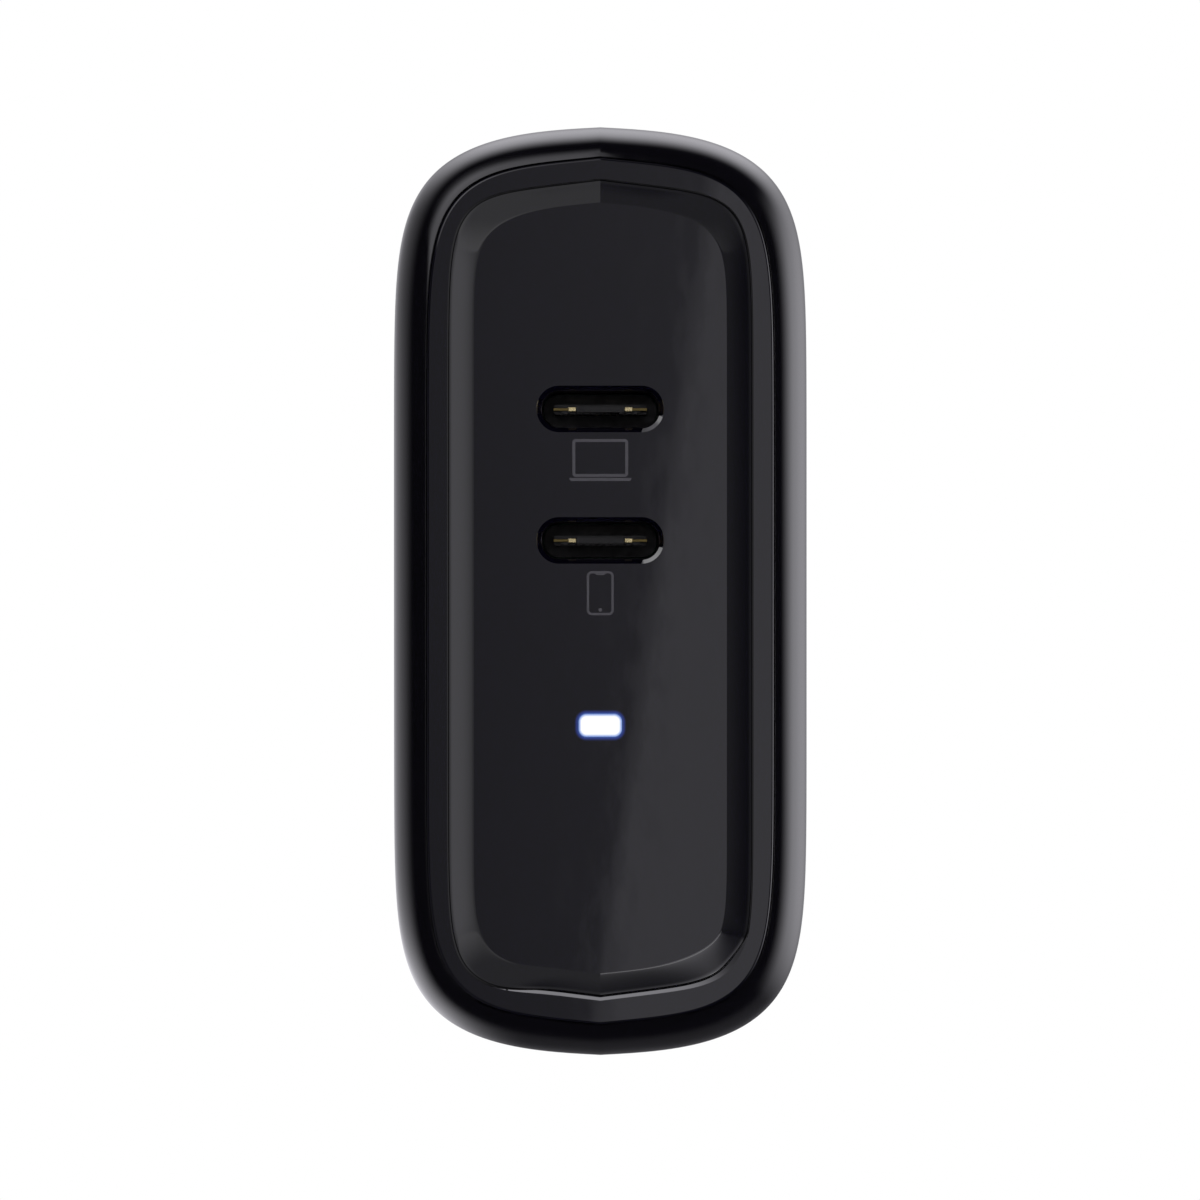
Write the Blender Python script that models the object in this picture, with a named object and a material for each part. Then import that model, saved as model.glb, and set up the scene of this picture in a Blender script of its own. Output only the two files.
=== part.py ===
"""A two-port USB-C wall charger with a folding two-blade plug.

The numbers are millimetres, and make_object turns them into metres.
X runs across the face, Z up it, and Y from the front face (-BODY_DEPTH) to the wall face (0).
"""

import collections
import math

import bmesh
import bpy
import numpy as np

MM = 0.001

# An outline bows out like a rounded rectangle. Its gable is the faint ridge at top and bottom centre.
Outline = collections.namedtuple("Outline", "half_width half_height side_power top_power gable")

BODY_DEPTH = 60.0
BODY = Outline(14.75, 33.15, 2.94, 8.66, 0.0227)
RING_OUTER = Outline(12.42, 30.90, 4.24, 8.81, 0.0389)
RING_INNER = Outline(10.90, 29.35, 6.50, 12.0, 0.0450)
PANEL_OUTER = Outline(10.80, 29.25, 6.45, 12.0, 0.0450)
PANEL_FLAT = Outline(9.02, 27.70, 3.20, 18.0, 0.0300)
QUARTER_STEPS = 14

WALL = 2.0
FIT = 0.3
SNUG = 0.1

# The shells meet at the parting line.
PARTING_Y = -9.0
LIP_DEPTH = 2.0
LIP_WALL = 1.2
FRONT_FILLET = 2.2
REAR_FILLET = 1.5
FILLET_STEPS = 3

# The front: the ring stands at the face, the panel dishes down inside it.
FRONT_Y = -BODY_DEPTH
SEAT_Y = FRONT_Y + 1.6
PANEL_BACK_Y = SEAT_Y - SNUG
PANEL_EDGE_Y = FRONT_Y + 0.20
PANEL_FLAT_Y = FRONT_Y + 0.70
EDGE_BREAK = 0.08

# The two ports and the light bar lie on the centre line.
PORT_HEIGHTS = {"upper": 12.98, "lower": 3.61}
LIGHT_HEIGHT = -9.57
PORT_OPENING = (9.06, 3.32)
RECEPTACLE_OUTER = (8.86, 3.12)
RECEPTACLE_INNER = (8.34, 2.56)
RECEPTACLE_BASE = (8.10, 2.32)
RECEPTACLE_FRONT_Y = FRONT_Y + 1.1
TONGUE_WIDTH = 6.69
TONGUE_THICKNESS = 0.70
TONGUE_FRONT_Y = RECEPTACLE_FRONT_Y + 0.6
MIDPLATE_THICKNESS = 0.16
MIDPLATE_LENGTH = 4.2
TONGUE_BASE_DEPTH = 1.8
NOSE_WIDTH = 3.3
NOSE_DEPTH = 0.35
PLATE_PLAY = 0.05
SLOT_ROUNDNESS = 0.46
LIGHT_BAR = (3.20, 1.75)
LIGHT_CORNER = 0.62

PORT_BOARD_Y = (-50.4, -49.2)
MAIN_BOARD_X = (-10.9, -9.3)
MAIN_BOARD_Y = (-48.8, -12.6)
MAIN_BOARD_HALF_HEIGHT = 25.0
PART_X = MAIN_BOARD_X[1] + 0.2

# The plug turns about an X axis through PIVOT.
PIVOT_Y = -4.0
PIVOT_Z = 9.0
BLADE_SPACING = 12.7
BLADE_WIDTH = 6.35
BLADE_THICKNESS = 1.5
BLADE_REACH = 17.0
BLADE_HOLE_RADIUS = 2.0
BLADE_HOLE_REACH = 11.9
NECK_WIDTH = 4.4
TAIL_WIDTH = 3.0
TAIL_REACH = 6.4
BARREL_RADIUS = 4.1
BARREL_FLAT = 3.6
BARREL_HALF_LENGTH = 8.6
TRUNNION_RADIUS = 1.5
TRUNNION_END = 10.7

# The rear cover's recess for the plug.
WINDOW_HALF = (8.9, 4.35)
CHANNEL_WIDTH = 2.6
CHANNEL_DEPTH = 7.7
CHANNEL_END_Z = -12.7
POCKET_WALL = 1.2
SCOOP_HALF_WIDTH = 9.0
SCOOP_Z = (-12.5, -5.0)
SCOOP_DEPTH = 5.0
BOSS_HALF_WIDTH = 2.4
BOSS_Z = (-3.4, 4.4)
SCREW_HEIGHTS = {"upper": 2.6, "lower": -1.6}
BAR_Y = (-10.5, -9.2)
BAR_TOP_Z = 6.5

SADDLE_HALF_HEIGHT = 2.8
SADDLE_PLAY = 0.15
PILOT_RADIUS = 0.85
PILOT_END_Y = -3.2
ARM_FOOT_Z = 2.5
SCREW_HEAD = (1.7, 1.3)
SCREW_SHANK_RADIUS = 0.7
SCREW_END_Y = -4.6
SPRING_WIDTH = 3.2
SPRING_THICKNESS = 0.3
SPRING_FOOT_Y = -12.6
SPRING_Z = (1.6, 10.4)
LEAD_RADIUS = 0.55
LEAD_POINTS = 18
LEAD_PAD = (-9.0, -13.5)
LEAD_PAD_Z = {"line": -9.0, "neutral": 2.0}

# The power section: x is out from the main board, y along its depth, z up.
SHEET_Y = (-47.0, -15.0)
SHEET_Z = (-20.5, 20.5)
INSULATING_SHEET_X = (-12.2, -11.9)
HEAT_SPREADER_X = (11.6, 12.1)
THERMAL_PAD = ((9.4, 11.3), (-37.5, -24.0), (-10.5, 6.5))
BARRIER_Y = (-38.95, -38.65)
BARRIER_TOP_X = 8.5
BARRIER_Z = (-24.0, 9.4)
HEADER_SIZE = (2.6, 2.4, 16.0)
PORT_BOARD_SIZE = (19.0, 44.0)
CONTROLLER_SIZE = (4.0, 0.8, 4.0)
CONTROLLER_X = 2.0
LAMP_SIZE = (2.0, 0.65, 1.0)

TRANSFORMER_AT = (0.9, -30.8, -2.0)
CORE_DEPTH = 14.0
CORE_LENGTH = 19.0
CORE_HALF_HEIGHT = 8.1
CORE_BACK = 2.6
CORE_JOINT = 0.15
POST_RADIUS = 3.6
LEG_THICKNESS = 2.1
BOBBIN_WALL = 0.6
BOBBIN_FLANGE = 0.8
BOBBIN_RADIUS = 6.9
WINDING_RADIUS = 6.3
TAPE_RADII = (6.4, 6.65)

CHOKE_RADII = (3.4, 5.8)
CHOKE_HEIGHT = 5.0
CHOKE_AT = (-4.7, -28.6, 15.6)
CHOKE_ARC = 120
CHOKE_WIRE = (0.15, 0.7)

BULK_CAN = (4.1, 18.2)
BULK_Y = -18.8
BULK_HEIGHTS = (-1.9, -10.5, -19.1)
OUTPUT_CAN = (3.15, 9.0)
OUTPUT_Y = -42.7
OUTPUT_HEIGHTS = (12.4, 19.4)
FUSE_CAN = (3.8, 8.0)
FUSE_YZ = (-18.4, 20.9)
X_CAPACITOR = (11.0, (-19.9, -14.5), (3.7, 16.5))

SMOOTH_ANGLE = math.radians(32)

BLACK_SATIN = ((0.008, 0.008, 0.009), 0.35, 0.0)
BLACK_GLOSS = ((0.004, 0.004, 0.005), 0.05, 0.0)
PALE_PLASTIC = ((0.75, 0.78, 0.85), 0.30, 0.0)
BOARD_GREEN = ((0.01, 0.10, 0.04), 0.45, 0.0)
STEEL = ((0.60, 0.60, 0.62), 0.30, 1.0)
DARK_STEEL = ((0.12, 0.12, 0.13), 0.35, 1.0)
NICKEL = ((0.72, 0.70, 0.66), 0.22, 1.0)
GOLD = ((0.85, 0.62, 0.25), 0.25, 1.0)
COPPER = ((0.70, 0.30, 0.12), 0.30, 1.0)
ALUMINIUM = ((0.70, 0.71, 0.72), 0.40, 1.0)
FERRITE = ((0.03, 0.03, 0.035), 0.60, 0.0)
CHIP_BLACK = ((0.02, 0.02, 0.02), 0.50, 0.0)
CREAM = ((0.75, 0.70, 0.55), 0.50, 0.0)
YELLOW_TAPE = ((0.80, 0.62, 0.05), 0.35, 0.0)
BLUE_LACQUER = ((0.02, 0.12, 0.45), 0.35, 0.0)
GREEN_LACQUER = ((0.03, 0.30, 0.10), 0.35, 0.0)
GREY_RUBBER = ((0.35, 0.37, 0.42), 0.80, 0.0)
CLEAR_AMBER = ((0.55, 0.40, 0.12), 0.25, 0.0)
WHITE_SLEEVE = ((0.70, 0.70, 0.70), 0.40, 0.0)

# Discs that stand on edge: radius, thickness, y, z.
DISCS = {
    "varistor": (4.3, 3.2, -37.4, 14.4, BLUE_LACQUER),
    "inrush_thermistor": (3.0, 3.2, -37.4, 21.9, GREEN_LACQUER),
    "y_capacitor": (3.3, 3.4, -42.4, -21.0, BLUE_LACQUER),
}

# Blocks on the board: height off it, depth, width up it, y, z.
BLOCKS = {
    "bridge_rectifier": (3.0, 8.2, 9.0, -27.8, -18.2, CHIP_BLACK),
    "primary_switch": (1.0, 6.0, 8.0, -35.4, -18.2, CHIP_BLACK),
    "optocoupler": (3.5, 4.6, 4.6, -42.4, -14.6, CHIP_BLACK),
    "output_rectifier": (1.0, 6.0, 5.0, -42.4, -9.3, CHIP_BLACK),
    "output_inductor_lower": (5.0, 6.8, 6.8, -42.6, -2.9, FERRITE),
    "output_inductor_upper": (5.0, 6.8, 6.8, -42.6, 4.5, FERRITE),
}


# ---------------------------------------------------------------- shapes


def quarter(outline):
    """Points from top centre to the side, spaced evenly by length and by turn together."""
    t = np.linspace(0, 1, 4001)
    angle = (t - np.sin(2 * np.pi * t) / (2 * np.pi)) * np.pi / 2
    x = outline.half_width * np.sin(angle) ** (2 / outline.side_power)
    z = outline.half_height * np.abs(np.cos(angle)) ** (2 / outline.top_power)
    z *= 1 - outline.gable * x / outline.half_width
    z[-1] = 0
    step = np.hypot(np.diff(x), np.diff(z))
    heading = np.unwrap(np.arctan2(np.diff(z), np.diff(x)))
    turn = np.abs(np.diff(heading, prepend=heading[0]))
    spent = np.cumsum(0.35 * step / step.sum() + 0.65 * turn / turn.sum())
    spent = np.concatenate([[0], spent])
    marks = np.linspace(0, spent[-1], QUARTER_STEPS + 1)
    return np.interp(marks, spent, x), np.interp(marks, spent, z)


def ring(outline, y, inset=0.0):
    """The whole outline as a loop of points at depth y, with its half sizes less the inset."""
    outline = outline._replace(
        half_width=outline.half_width - inset, half_height=outline.half_height - inset
    )
    x, z = quarter(outline)
    xs = np.concatenate([x[:-1], x[:0:-1], -x[:-1], -x[:0:-1]])
    zs = np.concatenate([z[:-1], -z[:0:-1], -z[:-1], z[:0:-1]])
    return np.column_stack([xs, np.full(len(xs), y), zs])


def blend(first, second, share):
    return first * (1 - share) + second * share


def fillet(outside, inside, steps):
    """Rings that turn a quarter round from the edge of the side to the edge of the face."""
    rings = []
    for i in range(steps + 1):
        angle = i / steps * math.pi / 2
        loop = blend(outside, inside, 1 - math.cos(angle))
        loop[:, 1] = blend(outside[0, 1], inside[0, 1], math.sin(angle))
        rings.append(loop)
    return rings


def loft(rings, closed=False):
    """A skin over the rings. It joins the last ring to the first, or caps both ends."""
    bm = bmesh.new()
    loops = [[bm.verts.new(point) for point in loop] for loop in rings]
    count = len(loops[0])
    pairs = list(zip(loops, loops[1:]))
    if closed:
        pairs.append((loops[-1], loops[0]))
    for low, high in pairs:
        for i in range(count):
            j = (i + 1) % count
            bm.faces.new((low[i], low[j], high[j], high[i]))
    if not closed:
        bm.faces.new(loops[0])
        bm.faces.new(loops[-1][::-1])
    return bm


def box(x, y, z, bevel=0.0):
    """A block between the low and high values given for each axis."""
    bm = bmesh.new()
    bmesh.ops.create_cube(bm, size=1)
    for vert in bm.verts:
        vert.co = [low + (high - low) * (c + 0.5) for (low, high), c in zip((x, y, z), vert.co)]
    if bevel:
        bmesh.ops.bevel(bm, geom=bm.edges[:], offset=bevel, segments=2, affect="EDGES", profile=0.5)
    return bm


def along(axis, across, up, at):
    """A point with at on the named axis and the other two coordinates in X, Y, Z order."""
    return {"X": (at, across, up), "Y": (across, at, up), "Z": (across, up, at)}[axis]


def prism(points, axis, span):
    """The flat polygon, drawn in the other two axes, pushed along this axis."""
    return loft([[along(axis, u, v, at) for u, v in points] for at in span])


def circle(radius, centre=(0.0, 0.0), segments=24):
    angles = [2 * math.pi * i / segments for i in range(segments)]
    return [(centre[0] + radius * math.cos(a), centre[1] + radius * math.sin(a)) for a in angles]


def rounded(width, height, corner, centre=(0.0, 0.0), steps=4):
    """A rectangle with round corners, as a loop of points."""
    points = []
    for quadrant, (sx, sz) in enumerate(((1, 1), (-1, 1), (-1, -1), (1, -1))):
        middle = (sx * (width / 2 - corner), sz * (height / 2 - corner))
        for i in range(steps + 1):
            angle = (quadrant + i / steps) * math.pi / 2
            u = centre[0] + middle[0] + corner * math.cos(angle)
            v = centre[1] + middle[1] + corner * math.sin(angle)
            points.append((u, v))
    return points


def slot_prism(size, z, span, corner=None):
    """A rounded slot through the front at this height, run along Y."""
    width, height = size
    corner = height * 0.48 if corner is None else corner
    return prism(rounded(width, height, corner, centre=(0.0, z)), "Y", span)


def turned(profile, axis="X", segments=24):
    """A closed profile of (radius, position) pairs turned about the axis."""
    rings = []
    for radius, at in profile:
        rings.append([along(axis, u, v, at) for u, v in circle(radius, segments=segments)])
    return rings


def can(radius, height, bevel=0.5, segments=24):
    """A round can on its base, its top edge rolled over."""
    profile = ((radius, 0), (radius, height - bevel), (radius - bevel, height))
    return loft(turned(profile, segments=segments))


def washer(inner, outer, height, segments=24):
    half = height / 2
    profile = ((inner, -half), (outer, -half), (outer, half), (inner, half))
    return loft(turned(profile, segments=segments), closed=True)


# ---------------------------------------------------------------- objects


def finish_of(name, look):
    colour, roughness, metallic = look
    made = bpy.data.materials.new(name)
    made.use_nodes = True
    shader = made.node_tree.nodes["Principled BSDF"]
    shader.inputs["Base Color"].default_value = (*colour, 1)
    shader.inputs["Roughness"].default_value = roughness
    shader.inputs["Metallic"].default_value = metallic
    made.diffuse_color = (*colour, 1)
    return made


def make_object(name, bm, look=None, at=(0.0, 0.0, 0.0), parent=None):
    """The mesh as an object in metres, its faces outwards and its flat faces kept flat."""
    bmesh.ops.recalc_face_normals(bm, faces=bm.faces[:])
    bmesh.ops.scale(bm, vec=(MM, MM, MM), verts=bm.verts[:])
    mesh = bpy.data.meshes.new(name)
    bm.to_mesh(mesh)
    bm.free()
    made = bpy.data.objects.new(name, mesh)
    made.location = [value * MM for value in at]
    made.parent = parent
    bpy.context.scene.collection.objects.link(made)
    if look:
        dress(made, look)
    return made


def dress(made, look):
    made.data.materials.clear()
    made.data.materials.append(finish_of(made.name, look))
    made.data.shade_smooth()
    made.data.set_sharp_from_angle(angle=SMOOTH_ANGLE)


def combine(target, meshes, operation, look):
    """Adds meshes to the target, or cuts them from it."""
    helpers = [make_object(f"{target.name}_helper", bm) for bm in meshes]
    for helper in helpers:
        helper.matrix_world = target.matrix_world
        step = target.modifiers.new(operation.title(), "BOOLEAN")
        step.operation = operation
        step.object = helper
    bpy.context.view_layer.update()
    graph = bpy.context.evaluated_depsgraph_get()
    mesh = bpy.data.meshes.new_from_object(target.evaluated_get(graph))
    target.modifiers.clear()
    target.data = mesh
    for helper in helpers:
        bpy.data.objects.remove(helper)
    dress(target, look)


# ---------------------------------------------------------------- outer shells


def front_holes(growth, span):
    """Cutters for both ports and the light bar, with this much clearance added all round."""
    port = (PORT_OPENING[0] + 2 * growth, PORT_OPENING[1] + 2 * growth)
    light = (LIGHT_BAR[0] + 2 * growth, LIGHT_BAR[1] + 2 * growth)
    cutters = [slot_prism(port, z, span) for z in PORT_HEIGHTS.values()]
    return cutters + [slot_prism(light, LIGHT_HEIGHT, span, LIGHT_CORNER + growth)]


def main_housing():
    """The deep shell: a tube with a front wall that carries the ring and the panel."""
    inner_front = SEAT_Y + WALL
    edge = PARTING_Y - FIT
    rings = [ring(BODY, inner_front, WALL), ring(BODY, edge, WALL), ring(BODY, edge)]
    mouth = ring(RING_OUTER, FRONT_Y, -SNUG)
    rings += fillet(ring(BODY, FRONT_Y + FRONT_FILLET), mouth, FILLET_STEPS)
    rings.append(ring(RING_OUTER, SEAT_Y, -SNUG))
    made = make_object("main_housing", loft(rings), BLACK_SATIN)
    combine(made, front_holes(FIT, (FRONT_Y, inner_front + 1)), "DIFFERENCE", BLACK_SATIN)


def bezel_ring():
    """The flat gloss band round the face, its edges lightly broken."""
    rings = [
        ring(RING_OUTER, PANEL_BACK_Y),
        ring(RING_OUTER, FRONT_Y + EDGE_BREAK),
        ring(RING_OUTER, FRONT_Y, EDGE_BREAK),
        ring(RING_INNER, FRONT_Y, -EDGE_BREAK),
        ring(RING_INNER, FRONT_Y + EDGE_BREAK),
        ring(RING_INNER, PANEL_BACK_Y),
    ]
    make_object("bezel_ring", loft(rings, closed=True), BLACK_GLOSS)


def face_panel():
    """The gloss panel, dished from its edge down to the flat that holds the ports."""
    rings = [
        ring(PANEL_OUTER, PANEL_BACK_Y),
        ring(PANEL_OUTER, PANEL_EDGE_Y + EDGE_BREAK),
        ring(PANEL_OUTER, PANEL_EDGE_Y, EDGE_BREAK),
        ring(PANEL_FLAT, PANEL_FLAT_Y),
    ]
    made = make_object("face_panel", loft(rings), BLACK_GLOSS)
    holes = front_holes(0.0, (FRONT_Y, PANEL_BACK_Y + 1))
    combine(made, holes, "DIFFERENCE", BLACK_GLOSS)


def channel_spans():
    for side in (-1, 1):
        middle = side * BLADE_SPACING / 2
        yield middle - CHANNEL_WIDTH / 2, middle + CHANNEL_WIDTH / 2


def rear_cover():
    """The shallow shell that holds the plug: a window for its barrel and a channel for each blade."""
    inner = WALL + FIT + LIP_WALL
    lip_end = PARTING_Y - LIP_DEPTH
    face = ring(BODY, 0.0, REAR_FILLET)
    rings = [ring(BODY, -WALL, inner), ring(BODY, lip_end, inner), ring(BODY, lip_end, WALL + FIT)]
    rings += [ring(BODY, PARTING_Y, WALL + FIT), ring(BODY, PARTING_Y)]
    rings += fillet(ring(BODY, -REAR_FILLET), face, FILLET_STEPS)
    made = make_object("rear_cover", loft(rings), BLACK_SATIN)
    window_low = PIVOT_Z - WINDOW_HALF[1]
    window_high = PIVOT_Z + WINDOW_HALF[1]
    behind_wall = -WALL + 0.5
    floor_y = -CHANNEL_DEPTH - POCKET_WALL
    added = []
    for low, high in channel_spans():
        side = (low - POCKET_WALL, high + POCKET_WALL)
        added.append(box(side, (floor_y, behind_wall), (CHANNEL_END_Z - POCKET_WALL, window_low)))
    scoop_low, scoop_high = SCOOP_Z
    reach = SCOOP_HALF_WIDTH + POCKET_WALL
    scoop_z = (scoop_low - POCKET_WALL, scoop_high + POCKET_WALL)
    added.append(box((-reach, reach), (-SCOOP_DEPTH - POCKET_WALL, behind_wall), scoop_z))
    added.append(box((-BOSS_HALF_WIDTH, BOSS_HALF_WIDTH), (BAR_Y[1] + 0.2, behind_wall), BOSS_Z))
    saddle_z = (PIVOT_Z - SADDLE_HALF_HEIGHT, PIVOT_Z + SADDLE_HALF_HEIGHT)
    for side in (-1, 1):
        span = sorted((side * (WINDOW_HALF[0] + 0.2), side * (BODY.half_width - WALL)))
        added.append(box(span, (PIVOT_Y + 0.1, behind_wall), saddle_z))
    combine(made, added, "UNION", BLACK_SATIN)
    window_x = (-WINDOW_HALF[0], WINDOW_HALF[0])
    cut = [box(window_x, (BAR_Y[0], 1), (window_low, window_high))]
    for span in channel_spans():
        cut.append(box(span, (-CHANNEL_DEPTH, 1), (CHANNEL_END_Z, window_low + 0.5)))
    scoop_width = (-SCOOP_HALF_WIDTH, SCOOP_HALF_WIDTH)
    cut.append(box(scoop_width, (-SCOOP_DEPTH, SCOOP_DEPTH), SCOOP_Z, bevel=2.2))
    cut.append(saddle_groove())
    for height in SCREW_HEIGHTS.values():
        cut.append(prism(circle(PILOT_RADIUS, (0.0, height), 16), "Y", (BAR_Y[0], PILOT_END_Y)))
    combine(made, cut, "DIFFERENCE", BLACK_SATIN)


def saddle_groove():
    """The round the trunnions turn in, with their play."""
    groove = circle(TRUNNION_RADIUS + SADDLE_PLAY, centre=(PIVOT_Y, PIVOT_Z))
    end = TRUNNION_END + 0.2
    return prism(groove, "X", (-end, end))


# ---------------------------------------------------------------- folding plug


def blade_outline(growth=0.0):
    """The blade in the pivot's (Y, Z): tail, neck, shoulder, flat and tapered tip."""
    tail, neck, wide = (w / 2 + growth for w in (TAIL_WIDTH, NECK_WIDTH, BLADE_WIDTH))
    shoulder = BARREL_FLAT + 0.1
    tip = BLADE_REACH - PIVOT_Y
    upper = [(-TAIL_REACH, tail), (-3.0, tail), (-3.0, neck), (shoulder, neck), (shoulder, wide)]
    upper += [(tip - 1.8, wide), (tip - 0.5, wide - 1.0), (tip, wide - 1.5)]
    return [(y, -z) for y, z in upper] + upper[::-1]


def plug():
    """The barrel on its trunnions, and a blade through each end, all about the pivot."""
    pivot = bpy.data.objects.new("plug_pivot", None)
    pivot.location = (0.0, PIVOT_Y * MM, PIVOT_Z * MM)
    bpy.context.scene.collection.objects.link(pivot)
    bpy.context.view_layer.update()
    ends = (-BARREL_HALF_LENGTH, BARREL_HALF_LENGTH)
    barrel = make_object("blade_carrier", prism(barrel_outline(), "X", ends), BLACK_SATIN, parent=pivot)
    bpy.context.view_layer.update()
    trunnions = prism(circle(TRUNNION_RADIUS, segments=24), "X", (-TRUNNION_END, TRUNNION_END))
    combine(barrel, [trunnions], "UNION", BLACK_SATIN)
    slots = []
    for side in (-1, 1):
        middle = side * BLADE_SPACING / 2
        half = BLADE_THICKNESS / 2 + SNUG
        slots.append(prism(blade_outline(SNUG), "X", (middle - half, middle + half)))
    combine(barrel, slots, "DIFFERENCE", BLACK_SATIN)
    for name, side in (("left_blade", -1), ("right_blade", 1)):
        half = BLADE_THICKNESS / 2
        at = (side * BLADE_SPACING / 2, 0.0, 0.0)
        blade = make_object(name, prism(blade_outline(), "X", (-half, half)), NICKEL, at, pivot)
        bpy.context.view_layer.update()
        hole = circle(BLADE_HOLE_RADIUS, centre=(BLADE_HOLE_REACH - PIVOT_Y, 0.0))
        combine(blade, [prism(hole, "X", (-1, 1))], "DIFFERENCE", NICKEL)


def barrel_outline():
    """A circle with a flat for the deployed plug, at +Y, and one for the folded plug, at +Z."""
    half = math.acos(BARREL_FLAT / BARREL_RADIUS)
    stops = [half, math.pi / 2 - half, math.pi / 2 + half, 2 * math.pi - half]
    angles = list(np.linspace(stops[0], stops[1], 4)) + list(np.linspace(stops[2], stops[3], 18))
    return [(BARREL_RADIUS * math.cos(a), BARREL_RADIUS * math.sin(a)) for a in angles]


def plug_bracket():
    """The inner clamp: a bar behind the channels and an arm up to each trunnion."""
    reach = TRUNNION_END + 0.1
    bar = box((-reach, reach), BAR_Y, (ARM_FOOT_Z, BAR_TOP_Z))
    made = make_object("plug_bracket", bar, CHIP_BLACK)
    added = [box((-BOSS_HALF_WIDTH, BOSS_HALF_WIDTH), BAR_Y, (BOSS_Z[0], BAR_TOP_Z - 1))]
    for side in (-1, 1):
        span = sorted((side * (BARREL_HALF_LENGTH + 0.4), side * reach))
        arm_z = (ARM_FOOT_Z, PIVOT_Z + SADDLE_HALF_HEIGHT - 0.2)
        added.append(box(span, (BAR_Y[0], PIVOT_Y - SNUG), arm_z))
    combine(made, added, "UNION", CHIP_BLACK)
    cut = [saddle_groove()]
    for height in SCREW_HEIGHTS.values():
        cut.append(prism(circle(SCREW_SHANK_RADIUS + FIT, (0.0, height), 16), "Y", (BAR_Y[0] - 1, -8)))
    combine(made, cut, "DIFFERENCE", CHIP_BLACK)


def bracket_screws():
    """Pan heads on the bar, with plain shanks down the boss."""
    radius, height = SCREW_HEAD
    seat = BAR_Y[0] - SNUG
    head = seat - height
    profile = ((radius - 0.4, head), (radius, head + 0.4), (radius, seat))
    profile += ((SCREW_SHANK_RADIUS, seat), (SCREW_SHANK_RADIUS, SCREW_END_Y))
    for where, height in SCREW_HEIGHTS.items():
        screw = loft(turned(profile, axis="Y", segments=16))
        make_object(f"bracket_screw_{where}", screw, STEEL, (0.0, 0.0, height))


def contact_springs():
    """A bronze leaf behind each blade's tail, with a foot for its lead and a bent-over tip."""
    near = BAR_Y[0] - FIT
    far = near - SPRING_THICKNESS
    foot, top = SPRING_Z
    foot_top = foot + SPRING_THICKNESS
    profile = [(near, top + 0.4), (near, foot), (SPRING_FOOT_Y, foot), (SPRING_FOOT_Y, foot_top)]
    profile += [(far, foot_top), (far, top), (far - 0.5, top + 0.6), (near - 0.1, top + 1.0)]
    half = SPRING_WIDTH / 2
    for name, side in (("line_contact_spring", -1), ("neutral_contact_spring", 1)):
        leaf = prism(profile, "X", (-half, half))
        make_object(name, leaf, COPPER, (side * BLADE_SPACING / 2, 0.0, 0.0))


def lead(name, controls, look):
    """An insulated wire on the smooth Bezier curve of the control points."""
    at = np.linspace(0, 1, LEAD_POINTS)
    order = len(controls) - 1
    route = np.zeros((LEAD_POINTS, 3))
    for i, control in enumerate(controls):
        share = math.comb(order, i) * (1 - at) ** (order - i) * at**i
        route += np.outer(share, control)
    curve = bpy.data.curves.new(name, "CURVE")
    curve.dimensions = "3D"
    curve.bevel_depth = LEAD_RADIUS * MM
    curve.bevel_resolution = 2
    curve.use_fill_caps = True
    spline = curve.splines.new("POLY")
    spline.points.add(LEAD_POINTS - 1)
    for point, place in zip(spline.points, route):
        point.co = (*(place * MM), 1)
    made = bpy.data.objects.new(name, curve)
    made.data.materials.append(finish_of(name, look))
    bpy.context.scene.collection.objects.link(made)


def plug_leads():
    """From each spring's foot to its pad on the rear edge of the main board."""
    side = BLADE_SPACING / 2
    foot = (SPRING_FOOT_Y + 0.4, SPRING_Z[0] - 0.7)
    pad_x, pad_y = LEAD_PAD
    line_pad = (pad_x, pad_y, LEAD_PAD_Z["line"])
    neutral_pad = (pad_x, pad_y, LEAD_PAD_Z["neutral"])
    line = [(-side, *foot), (-side, foot[0], -5.0), (-5.0, *line_pad[1:]), line_pad]
    neutral = [(side, *foot), (side, -12.6, -7.0), (2.0, *neutral_pad[1:]), neutral_pad]
    lead("line_lead", line, CHIP_BLACK)
    lead("neutral_lead", neutral, WHITE_SLEEVE)


# ---------------------------------------------------------------- ports and light


def round_slot(size):
    """The rounded rectangle of a USB-C receptacle's parts."""
    return rounded(*size, size[1] * SLOT_ROUNDNESS)


def receptacles():
    """Each port: a steel mouth on the port board, and inside it the tongue with its metal plate."""
    back = PORT_BOARD_Y[0] - 0.2
    outer = round_slot(RECEPTACLE_OUTER)
    inner = round_slot(RECEPTACLE_INNER)
    loops = [(outer, back), (outer, RECEPTACLE_FRONT_Y), (inner, RECEPTACLE_FRONT_Y), (inner, back)]
    middle = MIDPLATE_THICKNESS / 2
    for where, height in PORT_HEIGHTS.items():
        at = (0.0, 0.0, height)
        mouth = loft([[(x, y, z) for x, z in loop] for loop, y in loops], closed=True)
        make_object(f"usb_c_mouth_{where}", mouth, DARK_STEEL, at)
        tongue(f"usb_c_tongue_{where}", at, back)
        plate = prism(plate_outline(), "Z", (-middle, middle))
        make_object(f"usb_c_midplate_{where}", plate, GOLD, at)


def plate_outline():
    """The plate seen from above: its front edge steps back round the tongue's nose."""
    half = TONGUE_WIDTH / 2
    nose = NOSE_WIDTH / 2 + SNUG
    step = TONGUE_FRONT_Y + NOSE_DEPTH + SNUG
    back = TONGUE_FRONT_Y + MIDPLATE_LENGTH
    return u_shape(half, nose, TONGUE_FRONT_Y, step, back)


def plate_slit_outline():
    """The slit for the plate, which is open at the tongue's front and sides."""
    step = TONGUE_FRONT_Y + NOSE_DEPTH
    back = TONGUE_FRONT_Y + MIDPLATE_LENGTH + SNUG
    return u_shape(TONGUE_WIDTH / 2 + 1, NOSE_WIDTH / 2, TONGUE_FRONT_Y - 1, step, back)


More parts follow.
